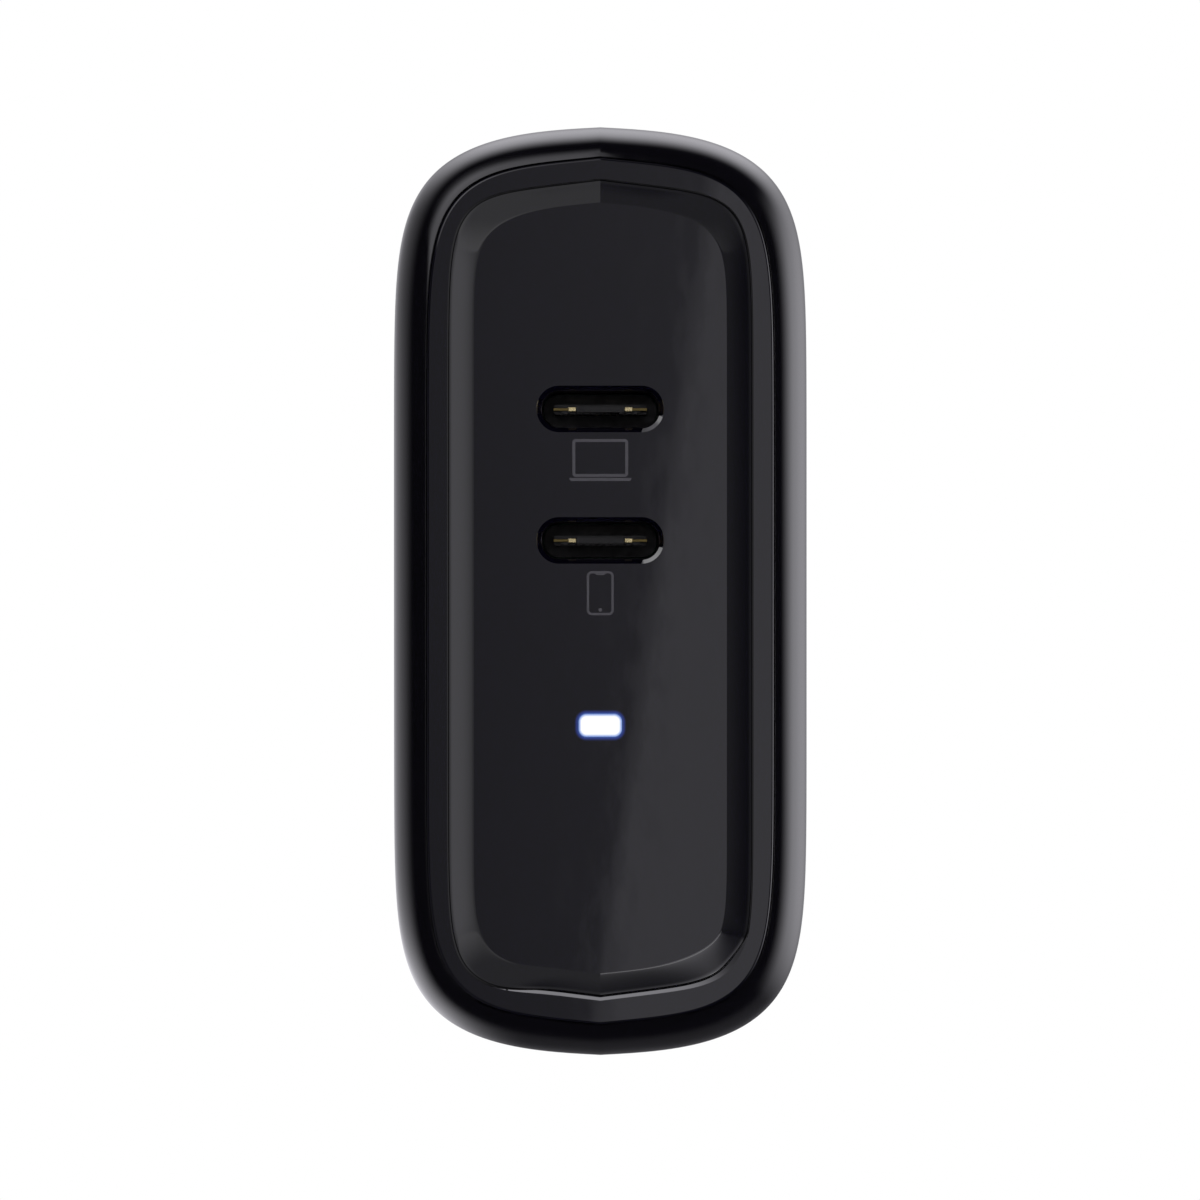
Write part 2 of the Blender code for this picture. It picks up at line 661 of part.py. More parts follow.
def u_shape(half, nose, front, step, back):
    """A rectangle in (X, Y) with a step back in the middle of its front edge."""
    front_edge = [(-half, front), (-nose, front), (-nose, step), (nose, step), (nose, front)]
    return front_edge + [(half, front), (half, back), (-half, back)]


def tongue(name, at, back):
    base_front = back - TONGUE_BASE_DEPTH
    made = make_object(name, prism(round_slot(RECEPTACLE_BASE), "Y", (base_front, back)), CHIP_BLACK, at)
    bpy.context.view_layer.update()
    half = TONGUE_WIDTH / 2
    thick = TONGUE_THICKNESS / 2
    slab = box((-half, half), (TONGUE_FRONT_Y, base_front + 0.5), (-thick, thick))
    combine(made, [slab], "UNION", CHIP_BLACK)
    slit = MIDPLATE_THICKNESS / 2 + PLATE_PLAY
    combine(made, [prism(plate_slit_outline(), "Z", (-slit, slit))], "DIFFERENCE", CHIP_BLACK)


def light_parts():
    """The milky bar in the panel, and the lamp behind it on the port board."""
    size = (LIGHT_BAR[0] - 2 * SNUG, LIGHT_BAR[1] - 2 * SNUG)
    span = (PANEL_FLAT_Y, PORT_BOARD_Y[0] - 1.0)
    at = (0.0, 0.0, LIGHT_HEIGHT)
    make_object("light_pipe", slot_prism(size, 0.0, span, LIGHT_CORNER - SNUG), PALE_PLASTIC, at)
    wide, deep, high = LAMP_SIZE
    back = PORT_BOARD_Y[0] - 0.15
    lamp = box((-wide / 2, wide / 2), (back - deep, back), (-high / 2, high / 2), bevel=0.1)
    make_object("status_lamp", lamp, PALE_PLASTIC, at)


def port_board():
    outline = rounded(*PORT_BOARD_SIZE, 2.0)
    make_object("port_board", prism(outline, "Y", PORT_BOARD_Y), BOARD_GREEN)
    wide, deep, high = CONTROLLER_SIZE
    front = PORT_BOARD_Y[1] + SNUG
    for where, height in PORT_HEIGHTS.items():
        chip = box((-wide / 2, wide / 2), (front, front + deep), (-high / 2, high / 2))
        make_object(f"port_controller_{where}", chip, CHIP_BLACK, (CONTROLLER_X, 0.0, height))


# ---------------------------------------------------------------- power section


def boards_and_sheets():
    low, high = MAIN_BOARD_Y
    outline = rounded(high - low, 2 * MAIN_BOARD_HALF_HEIGHT, 1.5, centre=((low + high) / 2, 0.0))
    make_object("main_board", prism(outline, "X", MAIN_BOARD_X), BOARD_GREEN)
    tall, deep, wide = HEADER_SIZE
    header = box((0.0, tall), (low, low + deep), (-wide / 2, wide / 2), bevel=0.2)
    make_object("board_link_header", header, CHIP_BLACK, (PART_X, 0.0, 0.0))
    make_object("insulating_sheet", box(INSULATING_SHEET_X, SHEET_Y, SHEET_Z), CLEAR_AMBER)
    make_object("heat_spreader", box(HEAT_SPREADER_X, SHEET_Y, SHEET_Z), ALUMINIUM)
    make_object("thermal_pad", box(*THERMAL_PAD, bevel=0.3), GREY_RUBBER)
    make_object("insulating_barrier", box((PART_X, BARRIER_TOP_X), BARRIER_Y, BARRIER_Z), CREAM)


def core_half(name, side):
    """An E-shaped ferrite half: a back plate, a round middle post and two flat legs."""
    def span(low, high):
        return sorted((side * low, side * high))

    top = CORE_HALF_HEIGHT + CORE_JOINT
    half_depth = CORE_DEPTH / 2
    end = CORE_LENGTH / 2
    back = box(span(top - CORE_BACK, top), (-half_depth, half_depth), (-end, end), bevel=0.4)
    made = make_object(name, back, FERRITE, TRANSFORMER_AT)
    bpy.context.view_layer.update()
    reach = span(CORE_JOINT, top - CORE_BACK + 0.8)
    added = [prism(circle(POST_RADIUS), "X", reach)]
    leg_depth = (0.4 - half_depth, half_depth - 0.4)
    for z in ((0.4 - end, LEG_THICKNESS - end), (end - LEG_THICKNESS, end - 0.4)):
        added.append(box(reach, leg_depth, z))
    combine(made, added, "UNION", FERRITE)


def transformer():
    core_half("transformer_core_top", 1)
    core_half("transformer_core_base", -1)
    end = CORE_HALF_HEIGHT - CORE_BACK + CORE_JOINT - SNUG
    inside = end - BOBBIN_FLANGE
    bore = POST_RADIUS + 0.2
    tube = bore + BOBBIN_WALL
    rim = BOBBIN_RADIUS
    half = ((tube, inside), (rim, inside), (rim, end), (bore, end))
    profile = tuple((radius, -at) for radius, at in half[::-1]) + half
    make_object("transformer_bobbin", loft(turned(profile), closed=True), CREAM, TRANSFORMER_AT)
    height = 2 * inside - 0.3
    winding = washer(tube + 0.15, WINDING_RADIUS, height)
    make_object("transformer_winding", winding, COPPER, TRANSFORMER_AT)
    make_object("transformer_tape", washer(*TAPE_RADII, height), YELLOW_TAPE, TRANSFORMER_AT)


def choke_winding(start):
    """A sleeve round one side of the ring: its outer skin one way, its inner skin back."""
    inner, outer = CHOKE_RADII
    skins = []
    for growth in CHOKE_WIRE:
        half = CHOKE_HEIGHT / 2 + growth
        low, high = inner - growth, outer + growth
        corners = ((low, -half), (high, -half), (high, half), (low, half))
        skin = []
        for angle in np.radians(np.linspace(start, start + CHOKE_ARC, 9)):
            skin.append([(x, r * math.cos(angle), r * math.sin(angle)) for r, x in corners])
        skins.append(skin)
    return loft(skins[1] + skins[0][::-1], closed=True)


def common_mode_choke():
    """A ferrite ring with a winding round each side."""
    make_object("choke_core", washer(*CHOKE_RADII, CHOKE_HEIGHT), FERRITE, CHOKE_AT)
    for name, start in (("choke_winding_line", 30), ("choke_winding_neutral", 210)):
        make_object(name, choke_winding(start), COPPER, CHOKE_AT)


def capacitors():
    for i, z in enumerate(BULK_HEIGHTS):
        make_object(f"bulk_capacitor_{i + 1}", can(*BULK_CAN), CHIP_BLACK, (PART_X, BULK_Y, z))
    for i, z in enumerate(OUTPUT_HEIGHTS):
        make_object(f"output_capacitor_{i + 1}", can(*OUTPUT_CAN), ALUMINIUM, (PART_X, OUTPUT_Y, z))
    height, depth, width = X_CAPACITOR
    body = box((0.0, height), depth, width, bevel=0.6)
    make_object("x_capacitor", body, YELLOW_TAPE, (PART_X, 0.0, 0.0))


def small_power_parts():
    for name, (radius, thickness, y, z, look) in DISCS.items():
        half = thickness / 2
        rim = radius * 0.85
        profile = ((rim, -half), (radius, -half / 2), (radius, half / 2), (rim, half))
        disc = loft(turned(profile, axis="Y", segments=20))
        make_object(name, disc, look, (PART_X + radius + 0.2, y, z))
    for name, (tall, deep, wide, y, z, look) in BLOCKS.items():
        body = box((0.0, tall), (-deep / 2, deep / 2), (-wide / 2, wide / 2), bevel=0.25)
        make_object(name, body, look, (PART_X, y, z))
    make_object("fuse", can(*FUSE_CAN), CHIP_BLACK, (PART_X, *FUSE_YZ))


def main():
    for old in list(bpy.data.objects):
        bpy.data.objects.remove(old)
    main_housing()
    bezel_ring()
    face_panel()
    rear_cover()
    plug()
    plug_bracket()
    bracket_screws()
    contact_springs()
    plug_leads()
    receptacles()
    light_parts()
    port_board()
    boards_and_sheets()
    transformer()
    common_mode_choke()
    capacitors()
    small_power_parts()


main()
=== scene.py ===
"""The looks of the two-port USB-C wall charger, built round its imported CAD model.

Shapes are drawn in millimetres, in the CAD frame, and solid() turns them into metres.
X runs across the face, Z up it, and Y from the front face (-60) to the wall face (0).
"""

import collections
import math

import bmesh
import bpy
import numpy as np
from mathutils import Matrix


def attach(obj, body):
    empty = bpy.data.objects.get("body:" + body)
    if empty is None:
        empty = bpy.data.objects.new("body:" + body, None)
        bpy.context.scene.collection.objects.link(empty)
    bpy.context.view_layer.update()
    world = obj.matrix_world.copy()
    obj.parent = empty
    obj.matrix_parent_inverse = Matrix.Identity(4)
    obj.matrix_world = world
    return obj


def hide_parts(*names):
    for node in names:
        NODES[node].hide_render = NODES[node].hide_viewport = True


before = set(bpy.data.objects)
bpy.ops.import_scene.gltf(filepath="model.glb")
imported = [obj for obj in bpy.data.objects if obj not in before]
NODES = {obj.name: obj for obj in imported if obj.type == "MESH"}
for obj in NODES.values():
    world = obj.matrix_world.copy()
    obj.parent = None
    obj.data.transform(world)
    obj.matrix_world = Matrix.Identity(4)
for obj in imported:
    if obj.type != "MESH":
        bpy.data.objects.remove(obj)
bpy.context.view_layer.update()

MM = 0.001
SHELL, PLUG = "charger_body", "plug"

# ---------------------------------------------------------------- sizes

Outline = collections.namedtuple("Outline", "half_width half_height side_power top_power gable")

BODY = Outline(14.75, 33.15, 2.94, 8.66, 0.0227)
RING_OUTER = Outline(12.42, 30.90, 4.24, 8.81, 0.0389)
RING_INNER = Outline(10.90, 29.35, 6.50, 12.0, 0.0450)
PANEL_OUTER = Outline(10.82, 29.27, 6.45, 12.0, 0.0450)
PANEL_FLAT = Outline(9.02, 27.70, 3.20, 18.0, 0.0300)
QUARTER_SAMPLES = 12001
QUARTER_STEPS = 72
LENGTH_SHARE, TURN_SHARE = 0.35, 0.65
RIDGE_TURN = 1.2
FLAT_FACE = 0.99999
OVERSHOOT = 1.0

FRONT_Y = -60.0
SEAT_Y = -58.4
PANEL_BACK_Y = -58.5
PANEL_EDGE_Y = -59.80
PANEL_FLAT_Y = -59.3
WALL = 2.0
FIT = 0.3
PARTING_Y = -9.0
PARTING_ROUND = 0.15
LIP_DEPTH = 2.0
LIP_WALL = 1.2
FRONT_FILLET = 2.2
REAR_FILLET = 1.5
FILLET_STEPS = 14
EDGE_ROUND = 0.22
MOUTH_GAP = 0.04
FOOT_FADE_Z = (-24.0, -27.0)
FOOT_FADE_X = (-8.0, -3.0)
FOOT_TOP_INSET, FOOT_BASE_INSET, FOOT_DROP = 0.20, 0.50, 0.28
FOOT_RIM = 0.01
FOOT_GAP = 0.46
PANEL_BEVEL, PANEL_BEVEL_DEPTH = 0.06, 0.20
DISH_STEPS = 30
DISH_START, DISH_EASE_IN, DISH_EASE_OUT = 0.6, 0.12, 0.14

PORT_HEIGHTS = {"upper": 12.98, "lower": 3.61}
PORT_OPENING = (9.06, 3.32)
PORT_CORNER_SHARE, MOUTH_CORNER_SHARE = 0.48, 0.46
PORT_LIP, PORT_LIP_DEPTH, PORT_LIP_FOOT = 0.32, 0.50, 0.02
FACET_WIDTH, FACET_DEPTH, FACET_RIM = 0.27, 0.045, 0.002
FACET_BEARINGS = (-90, -14)
FACET_FADE = 4
COUNTERBORE = 0.04
MOUTH_FRONT_Y = -58.62
MOUTH_OUTER = (8.86, 3.12)
MOUTH_INNER = (8.34, 2.56)
MOUTH_BACK_Y = -50.6
TONGUE_FRONT_Y = -58.3
# Widths, heights and corner radii, then places: ends and setbacks run back from TONGUE_FRONT_Y,
# heights from the middle of the port.
TONGUE = (6.69, 0.70)
TONGUE_BASE = (8.10, 2.32, 1.06)
TONGUE_BASE_DEPTH = 1.8
NOSE = (3.37, 0.42, 0.08)
NOSE_LENGTH = 1.1
CHIN = (5.6, 0.30, 0.05)
CHIN_DROP, CHIN_SETBACK = 0.19, 0.5
NOTCH_HALF, NOTCH_HEIGHTS = 0.09, (-0.40, -0.22)
GROOVE_HALF, GROOVE_HEIGHTS, GROOVE_END = 0.14, (0.26, 0.60), 4.8
SLIT_HALF_WIDTH, SLIT_ENDS, SLIT_GAP = 4.0, (0.35, 4.4), 0.02
CONTACT_COUNT = 12
CONTACT_PITCH = 0.5
CONTACT_HALF, CONTACT_HEIGHTS, CONTACT_ENDS = 0.11, (0.265, 0.335), (1.5, 4.7)
PLATE_HALF = 0.10
PLATE_SIDE, PLATE_CORNER, PLATE_MIDDLE, PLATE_END = 0.50, 0.20, 0.60, 4.2
PLATE_CORNER_SPAN = (1.72, 2.25)
CAP_SPAN, CAP_ENDS, CAP_HALF = (1.74, 2.29), (0.02, 0.36), 0.16
LIGHT_HEIGHT = -9.57
LIGHT_BAR = (3.20, 1.75)
LIGHT_CORNER = 0.62
LIGHT_BACK_Y = -51.4
LIGHT_ROUND = 0.10
LIGHT_GAP = 0.03

PIVOT_Y = -4.0
PIVOT_Z = 9.0
BLADE_SPACING = 12.7
BLADE_HALF_THICKNESS = 0.75
BLADE_TIP_Y = 17.0
BARREL_RADIUS = 4.1
BARREL_FLAT = 3.6
BARREL_HALF_LENGTH = 8.6
TRUNNION_RADIUS = 1.5
TRUNNION_END = 10.7
RECESS_HALF_HEIGHT, RECESS_DEPTH = 4.35, 10.5
CHANNEL_HALF, CHANNEL_FOOT_Z, CHANNEL_DEPTH, CHANNEL_WALL = 1.3, -12.7, 7.7, 1.2
SADDLE_HALF_HEIGHT = 2.8
GRIP_RADIUS, GRIP_RISE, GRIP_HALF_LENGTH = 0.28, 0.12, 4.6
GRIP_PLACES = (-1.1, 0.0, 1.1)
BLADE_BORE_RADIUS, BLADE_BORE_Y = 2.0, 11.9
BLADE_GAP = 0.06

INK_Y = (-59.318, -59.295)

# ---------------------------------------------------------------- shapes


def quarter(outline):
    """Points from top centre to the side, spaced evenly by length and by turn together."""
    t = np.linspace(0, 1, QUARTER_SAMPLES)
    angle = (t - np.sin(2 * np.pi * t) / (2 * np.pi)) * np.pi / 2
    x = outline.half_width * np.sin(angle) ** (2 / outline.side_power)
    z = outline.half_height * np.abs(np.cos(angle)) ** (2 / outline.top_power)
    z *= 1 - outline.gable * x / outline.half_width
    z[-1] = 0
    step = np.hypot(np.diff(x), np.diff(z))
    heading = np.unwrap(np.arctan2(np.diff(z), np.diff(x)))
    turn = np.abs(np.diff(heading, prepend=heading[0]))
    spent = np.cumsum(LENGTH_SHARE * step / step.sum() + TURN_SHARE * turn / turn.sum())
    spent = np.concatenate([[0], spent])
    marks = np.linspace(0, spent[-1], QUARTER_STEPS + 1)
    return np.interp(marks, spent, x), np.interp(marks, spent, z)


def ring(outline, y, inset=0.0):
    """The whole outline as a loop of points at depth y, with its half sizes less the inset."""
    smaller = outline._replace(
        half_width=outline.half_width - inset, half_height=outline.half_height - inset
    )
    x, z = quarter(smaller)
    xs = np.concatenate([x[:-1], x[:0:-1], -x[:-1], -x[:0:-1]])
    zs = np.concatenate([z[:-1], -z[:0:-1], -z[:-1], z[:0:-1]])
    return np.column_stack([xs, np.full(len(xs), y), zs])


def blend(first, second, share):
    return first * (1 - share) + second * share


def fade(values, start, end):
    """From 0 at the start to 1 at the end, in a straight line."""
    return np.clip((values - start) / (end - start), 0, 1)


def about(middle, half):
    """The span that reaches half of its length to each side of the middle."""
    return middle - half, middle + half


def turn_over(outside, inside, steps=FILLET_STEPS):
    """Rings that turn a quarter round from the edge of a side to the edge of a face."""
    rings = []
    for i in range(steps + 1):
        angle = i / steps * math.pi / 2
        loop = blend(outside, inside, 1 - math.cos(angle))
        loop[:, 1] = blend(outside[0, 1], inside[0, 1], math.sin(angle))
        rings.append(loop)
    return rings


def loft(rings, closed=False):
    """A skin over the rings. It joins the last ring to the first, or caps both ends."""
    bm = bmesh.new()
    loops = [[bm.verts.new(point) for point in loop] for loop in rings]
    count = len(loops[0])
    pairs = list(zip(loops, loops[1:]))
    if closed:
        pairs.append((loops[-1], loops[0]))
    for low, high in pairs:
        for i in range(count):
            j = (i + 1) % count
            bm.faces.new((low[i], low[j], high[j], high[i]))
    if not closed:
        bm.faces.new(loops[0])
        bm.faces.new(loops[-1][::-1])
    return bm


def box(x, y, z):
    return loft([[(u, at, v) for u, v in rectangle(x, z)] for at in y])


def rectangle(x, z):
    return [(x[1], z[1]), (x[0], z[1]), (x[0], z[0]), (x[1], z[0])]


def along(axis, across, up, at):
    """A point with at on the named axis and the other two coordinates in X, Y, Z order."""
    return {"X": (at, across, up), "Y": (across, at, up), "Z": (across, up, at)}[axis]


def prism(points, axis, span):
    """The flat polygon, drawn in the other two axes, pushed along this axis."""
    return loft([[along(axis, u, v, at) for u, v in points] for at in span])


def circle(radius, centre=(0.0, 0.0), segments=64):
    angles = [2 * math.pi * i / segments for i in range(segments)]
    return [(centre[0] + radius * math.cos(a), centre[1] + radius * math.sin(a)) for a in angles]


def rounded(width, height, corner, centre=(0.0, 0.0), steps=14):
    """A rectangle with round corners, as a loop of points."""
    points = []
    for quadrant, (sx, sz) in enumerate(((1, 1), (-1, 1), (-1, -1), (1, -1))):
        middle = (sx * (width / 2 - corner), sz * (height / 2 - corner))
        for i in range(steps + 1):
            angle = (quadrant + i / steps) * math.pi / 2
            u = centre[0] + middle[0] + corner * math.cos(angle)
            v = centre[1] + middle[1] + corner * math.sin(angle)
            points.append((u, v))
    return points


def hole(size, corner, z, profile):
    """A cutter along Y through (growth, y) pairs, which narrows and widens a rounded slot."""
    loops = []
    for growth, y in profile:
        wide, high = (side + 2 * growth for side in size)
        loops.append([(u, y, v) for u, v in rounded(wide, high, corner + growth, (0.0, z))])
    return loft(loops)


def port_corner(size):
    return size[1] * PORT_CORNER_SHARE


def well(x, z, depth, corner=0.4, foot=0.0, flare=0.3):
    """A cutter for a pocket in the wall face, its mouth and its foot rounded."""
    steps = 6
    size = (x[1] - x[0], z[1] - z[0])
    centre = ((x[0] + x[1]) / 2, (z[0] + z[1]) / 2)
    profile = [(flare, OVERSHOOT)]
    for i in range(steps + 1):
        angle = i / steps * math.pi / 2
        profile.append((flare * (1 - math.sin(angle)), -flare * (1 - math.cos(angle))))
    for i in range(steps + 1 if foot else 1):
        angle = i / steps * math.pi / 2
        profile.append((foot * (math.cos(angle) - 1), foot - depth - foot * math.sin(angle)))
    loops = []
    for growth, y in profile:
        points = rounded(size[0] + 2 * growth, size[1] + 2 * growth, corner + growth, centre, 8)
        loops.append([(u, y, v) for u, v in points])
    return loft(loops)


# ---------------------------------------------------------------- objects


def solid(name, bm):
    """The mesh as an object in metres, its faces outwards."""
    bmesh.ops.recalc_face_normals(bm, faces=bm.faces[:])
    bmesh.ops.scale(bm, vec=(MM, MM, MM), verts=bm.verts[:])
    mesh = bpy.data.meshes.new(name)
    bm.to_mesh(mesh)
    bm.free()
    made = bpy.data.objects.new(name, mesh)
    bpy.context.scene.collection.objects.link(made)
    return made


def settle(target):
    """Turns the target's modifiers into its mesh."""
    bpy.context.view_layer.update()
    graph = bpy.context.evaluated_depsgraph_get()
    mesh = bpy.data.meshes.new_from_object(target.evaluated_get(graph))
    target.modifiers.clear()
    target.data = mesh


def combine(target, meshes, operation):
    """Adds meshes to the target, or cuts them from it."""
    helpers = [solid(f"{target.name}_helper", bm) for bm in meshes]
    for helper in helpers:
        step = target.modifiers.new(operation.title(), "BOOLEAN")
        step.operation = operation
        step.object = helper
    settle(target)
    for helper in helpers:
        bpy.data.objects.remove(helper)


def round_edges(target, width, segments=3, limit=35):
    """Rounds every edge that turns by more than the limit."""
    step = target.modifiers.new("Round", "BEVEL")
    step.width = width * MM
    step.segments = segments
    step.limit_method = "ANGLE"
    step.angle_limit = math.radians(limit)
    step.use_clamp_overlap = True
    settle(target)


def shade(target, limit=12.0):
    """Smooth shading that keeps flat faces flat, with sharp edges and the gable's ridge kept."""
    bm = bmesh.new()
    bm.from_mesh(target.data)
    for face in bm.faces:
        face.smooth = True
    for edge in bm.edges:
        if len(edge.link_faces) != 2:
            continue
        turn = math.degrees(edge.calc_face_angle(0.0))
        ridge = turn > RIDGE_TURN and all(abs(vert.co.x) < 1e-6 for vert in edge.verts)
        facing = [abs(face.normal.y) > FLAT_FACE for face in edge.link_faces]
        edge.smooth = turn < limit and not ridge and facing[0] == facing[1]
    bm.to_mesh(target.data)
    bm.free()
    step = target.modifiers.new("Normals", "WEIGHTED_NORMAL")
    step.keep_sharp = True


def place(target, body, look, replaces=()):
    """Finishes a piece: its shading, its material, its body and what it stands for."""
    shade(target)
    target.data.materials.clear()
    target.data.materials.append(look)
    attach(target, body)
    if replaces:
        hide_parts(*replaces)
    return target


# ---------------------------------------------------------------- material kit


class Graph:
    """Shorthand for a node tree's maths."""

    def __init__(self, tree):
        self.tree = tree

    def node(self, kind, **settings):
        made = self.tree.nodes.new(kind)
        for key, value in settings.items():
            setattr(made, key, value)
        return made

    def feed(self, socket, value):
        if isinstance(value, bpy.types.NodeSocket):
            self.tree.links.new(value, socket)
        else:
            socket.default_value = value

    def math(self, operation, *values):
        made = self.node("ShaderNodeMath", operation=operation)
        for socket, value in zip(made.inputs, values):
            self.feed(socket, value)
        return made.outputs[0]

    def ramp(self, value, start, end, low=0.0, high=1.0):
        """Low before start, high after end, with a smooth step between them."""
        made = self.node("ShaderNodeMapRange", interpolation_type="SMOOTHSTEP")
        for socket, item in zip(made.inputs, (value, start, end, low, high)):
            self.feed(socket, item)
        return made.outputs[0]

    def mix(self, share, first, second):
        made = self.node("ShaderNodeMix", data_type="RGBA")
        colours = [s for s in made.inputs if s.type == "RGBA"]
        self.feed(made.inputs[0], share)
        self.feed(colours[0], first)
        self.feed(colours[1], second)
        return next(s for s in made.outputs if s.type == "RGBA")

    def noise(self, scale, detail=3.0, where=None, roughness=0.55):
        made = self.node("ShaderNodeTexNoise")
        self.feed(made.inputs["Vector"], where or self.where())
        made.inputs["Scale"].default_value = scale
        made.inputs["Detail"].default_value = detail
        made.inputs["Roughness"].default_value = roughness
        return made.outputs["Fac"]

    def where(self, stretch=None):
        """Object coordinates in metres, squeezed along an axis where a stretch is given."""
        at = self.node("ShaderNodeTexCoord").outputs["Object"]
        if not stretch:
            return at
        made = self.node("ShaderNodeMapping")
        self.feed(made.inputs["Vector"], at)
        made.inputs["Scale"].default_value = stretch
        return made.outputs[0]

    def bump(self, height, distance, under=None):
        made = self.node("ShaderNodeBump")
        made.inputs["Strength"].default_value = 1.0
        made.inputs["Distance"].default_value = distance
        self.feed(made.inputs["Height"], height)
        if under:
            self.feed(made.inputs["Normal"], under)
        return made.outputs[0]


def rgba(colour):
    return (*colour, 1.0)


def shader_of(name):
    """A new material with its graph and its Principled shader."""
    made = bpy.data.materials.new(name)
    made.use_nodes = True
    return made, Graph(made.node_tree), made.node_tree.nodes["Principled BSDF"]


def black_plastic(name, tones, rough, peel, grain=0.0):
    """Moulded black plastic: faint mottle, wiped smudges, the mould's orange peel, fine grain."""
    made, g, shader = shader_of(name)
    g.feed(shader.inputs["Base Color"], g.mix(g.noise(350, 4), rgba(tones[0]), rgba(tones[1])))
    wiped = g.noise(900, 5, g.where((1.0, 1.0, 0.35)), 0.6)
    g.feed(shader.inputs["Roughness"], g.ramp(wiped, 0.35, 0.72, *rough))
    normal = g.bump(g.noise(420, 1), peel)
    if grain:
        normal = g.bump(g.noise(9000, 2), grain, under=normal)
    g.feed(shader.inputs["Normal"], normal)
    shader.inputs["IOR"].default_value = 1.5
    return made


def plain_plastic(name, tones, rough, scale, grain=4e-6):
    """A mottled surface with an uneven sheen and a fine grain."""
    made, g, shader = shader_of(name)
    g.feed(shader.inputs["Base Color"], g.mix(g.noise(scale, 4), rgba(tones[0]), rgba(tones[1])))
    g.feed(shader.inputs["Roughness"], g.ramp(g.noise(scale * 0.6, 5), 0.3, 0.7, *rough))
    g.feed(shader.inputs["Normal"], g.bump(g.noise(scale * 5, 2), grain))
    return made


def brushed_metal(name, tones, rough, stretch):
    """Metal with fine drawn lines along the axis that stretch squeezes, and dull handling marks."""
    made, g, shader = shader_of(name)
    lines = g.noise(14000, 3, g.where(stretch))
    stains = g.noise(600, 4)
    g.feed(shader.inputs["Base Color"], g.mix(stains, rgba(tones[0]), rgba(tones[1])))
    uneven = g.math("MULTIPLY_ADD", lines, 0.5, g.math("MULTIPLY", stains, 0.5))
    g.feed(shader.inputs["Roughness"], g.ramp(uneven, 0.35, 0.65, *rough))
    g.feed(shader.inputs["Normal"], g.bump(lines, 1.5e-6))
    shader.inputs["Metallic"].default_value = 1.0
    return made


def wound_wire(name, tones, pitch, axis):
    """Enamelled copper laid turn beside turn, darker in the grooves between the turns as painted
    shade.
    """
    made, g, shader = shader_of(name)
    split = g.node("ShaderNodeSeparateXYZ")
    g.feed(split.inputs[0], g.where())
    phase = g.math("MULTIPLY", split.outputs["XYZ".index(axis)], 2 * math.pi / (pitch * MM))
    turns = g.math("MULTIPLY_ADD", g.math("SINE", phase), 0.5, 0.5)
    # painted shade: the colour darkens where the turns dip into the grooves between them, following
    # the bump's pattern
    g.feed(shader.inputs["Base Color"], g.mix(turns, rgba(tones[0]), rgba(tones[1])))
    g.feed(shader.inputs["Roughness"], g.ramp(g.noise(3000, 3), 0.3, 0.7, 0.22, 0.4))
    g.feed(shader.inputs["Normal"], g.bump(turns, 0.12 * pitch * MM))
    shader.inputs["Metallic"].default_value = 1.0
    return made


def slot_distance(g, size, corner, z):
    """How far a point is outside a rounded slot in the face, in millimetres, below 0 inside it."""
    split = g.node("ShaderNodeSeparateXYZ")
    g.feed(split.inputs[0], g.where())
    x = g.math("MULTIPLY", split.outputs[0], 1 / MM)
    up = g.math("MULTIPLY_ADD", split.outputs[2], 1 / MM, -z)
    px = g.math("SUBTRACT", g.math("ABSOLUTE", x), size[0] / 2 - corner)
    pz = g.math("SUBTRACT", g.math("ABSOLUTE", up), size[1] / 2 - corner)
    outer_x = g.math("POWER", g.math("MAXIMUM", px, 0.0), 2.0)
    outer_z = g.math("POWER", g.math("MAXIMUM", pz, 0.0), 2.0)
    outside = g.math("SQRT", g.math("ADD", outer_x, outer_z))
    inside = g.math("MINIMUM", g.math("MAXIMUM", px, pz), 0.0)
    return g.math("SUBTRACT", g.math("ADD", outside, inside), corner)


def lit_lens(name):
    """Milky plastic lit from behind: white in the middle, blue towards its edge."""
    made, g, shader = shader_of(name)
    white, blue, deep_blue = (1.0, 1.0, 1.0, 1.0), (0.14, 0.26, 0.62, 1.0), (0.02, 0.04, 0.20, 1.0)
    away = slot_distance(g, LIGHT_BAR, LIGHT_CORNER, LIGHT_HEIGHT)
    glow = g.mix(g.ramp(away, -0.32, -0.04), white, blue)
    glow = g.mix(g.ramp(away, -0.10, 0.0), glow, deep_blue)
    speckle = g.ramp(g.noise(6000, 3), 0.3, 0.7, 0.96, 1.0)
    resin = g.mix(speckle, (0.03, 0.04, 0.07, 1.0), (0.05, 0.06, 0.09, 1.0))
    g.feed(shader.inputs["Base Color"], resin)
    g.feed(shader.inputs["Emission Color"], glow)
    g.feed(shader.inputs["Emission Strength"], g.ramp(away, -0.32, 0.0, 1.05, 0.95))
    g.feed(shader.inputs["Roughness"], g.ramp(g.noise(2500, 3), 0.3, 0.7, 0.25, 0.4))
    g.feed(shader.inputs["Normal"], g.bump(g.noise(5000, 2), 1e-6))
    return made


def gloss_panel_with_painted_glow(name):
    """The panel's gloss black, with a painted glow: blue emission near the status light stands in
    for its light spilling on to the panel.
    """
    made = black_plastic(name, *GLOSS)
    g = Graph(made.node_tree)
    shader = made.node_tree.nodes["Principled BSDF"]
    away = slot_distance(g, LIGHT_BAR, LIGHT_CORNER, LIGHT_HEIGHT)
    # painted glow: the panel is no lamp; this emission round the light's hole stands in for the
    # status light's blue spilling on to it
    shader.inputs["Emission Color"].default_value = (0.05, 0.10, 0.55, 1.0)
    g.feed(shader.inputs["Emission Strength"], g.ramp(away, -0.05, 0.26, 0.45, 0.0))
    return made


# ---------------------------------------------------------------- materials

GLOSS = (((0.0006, 0.0005, 0.0018), (0.0012, 0.0010, 0.0030)), (0.015, 0.045), 1.0e-7)

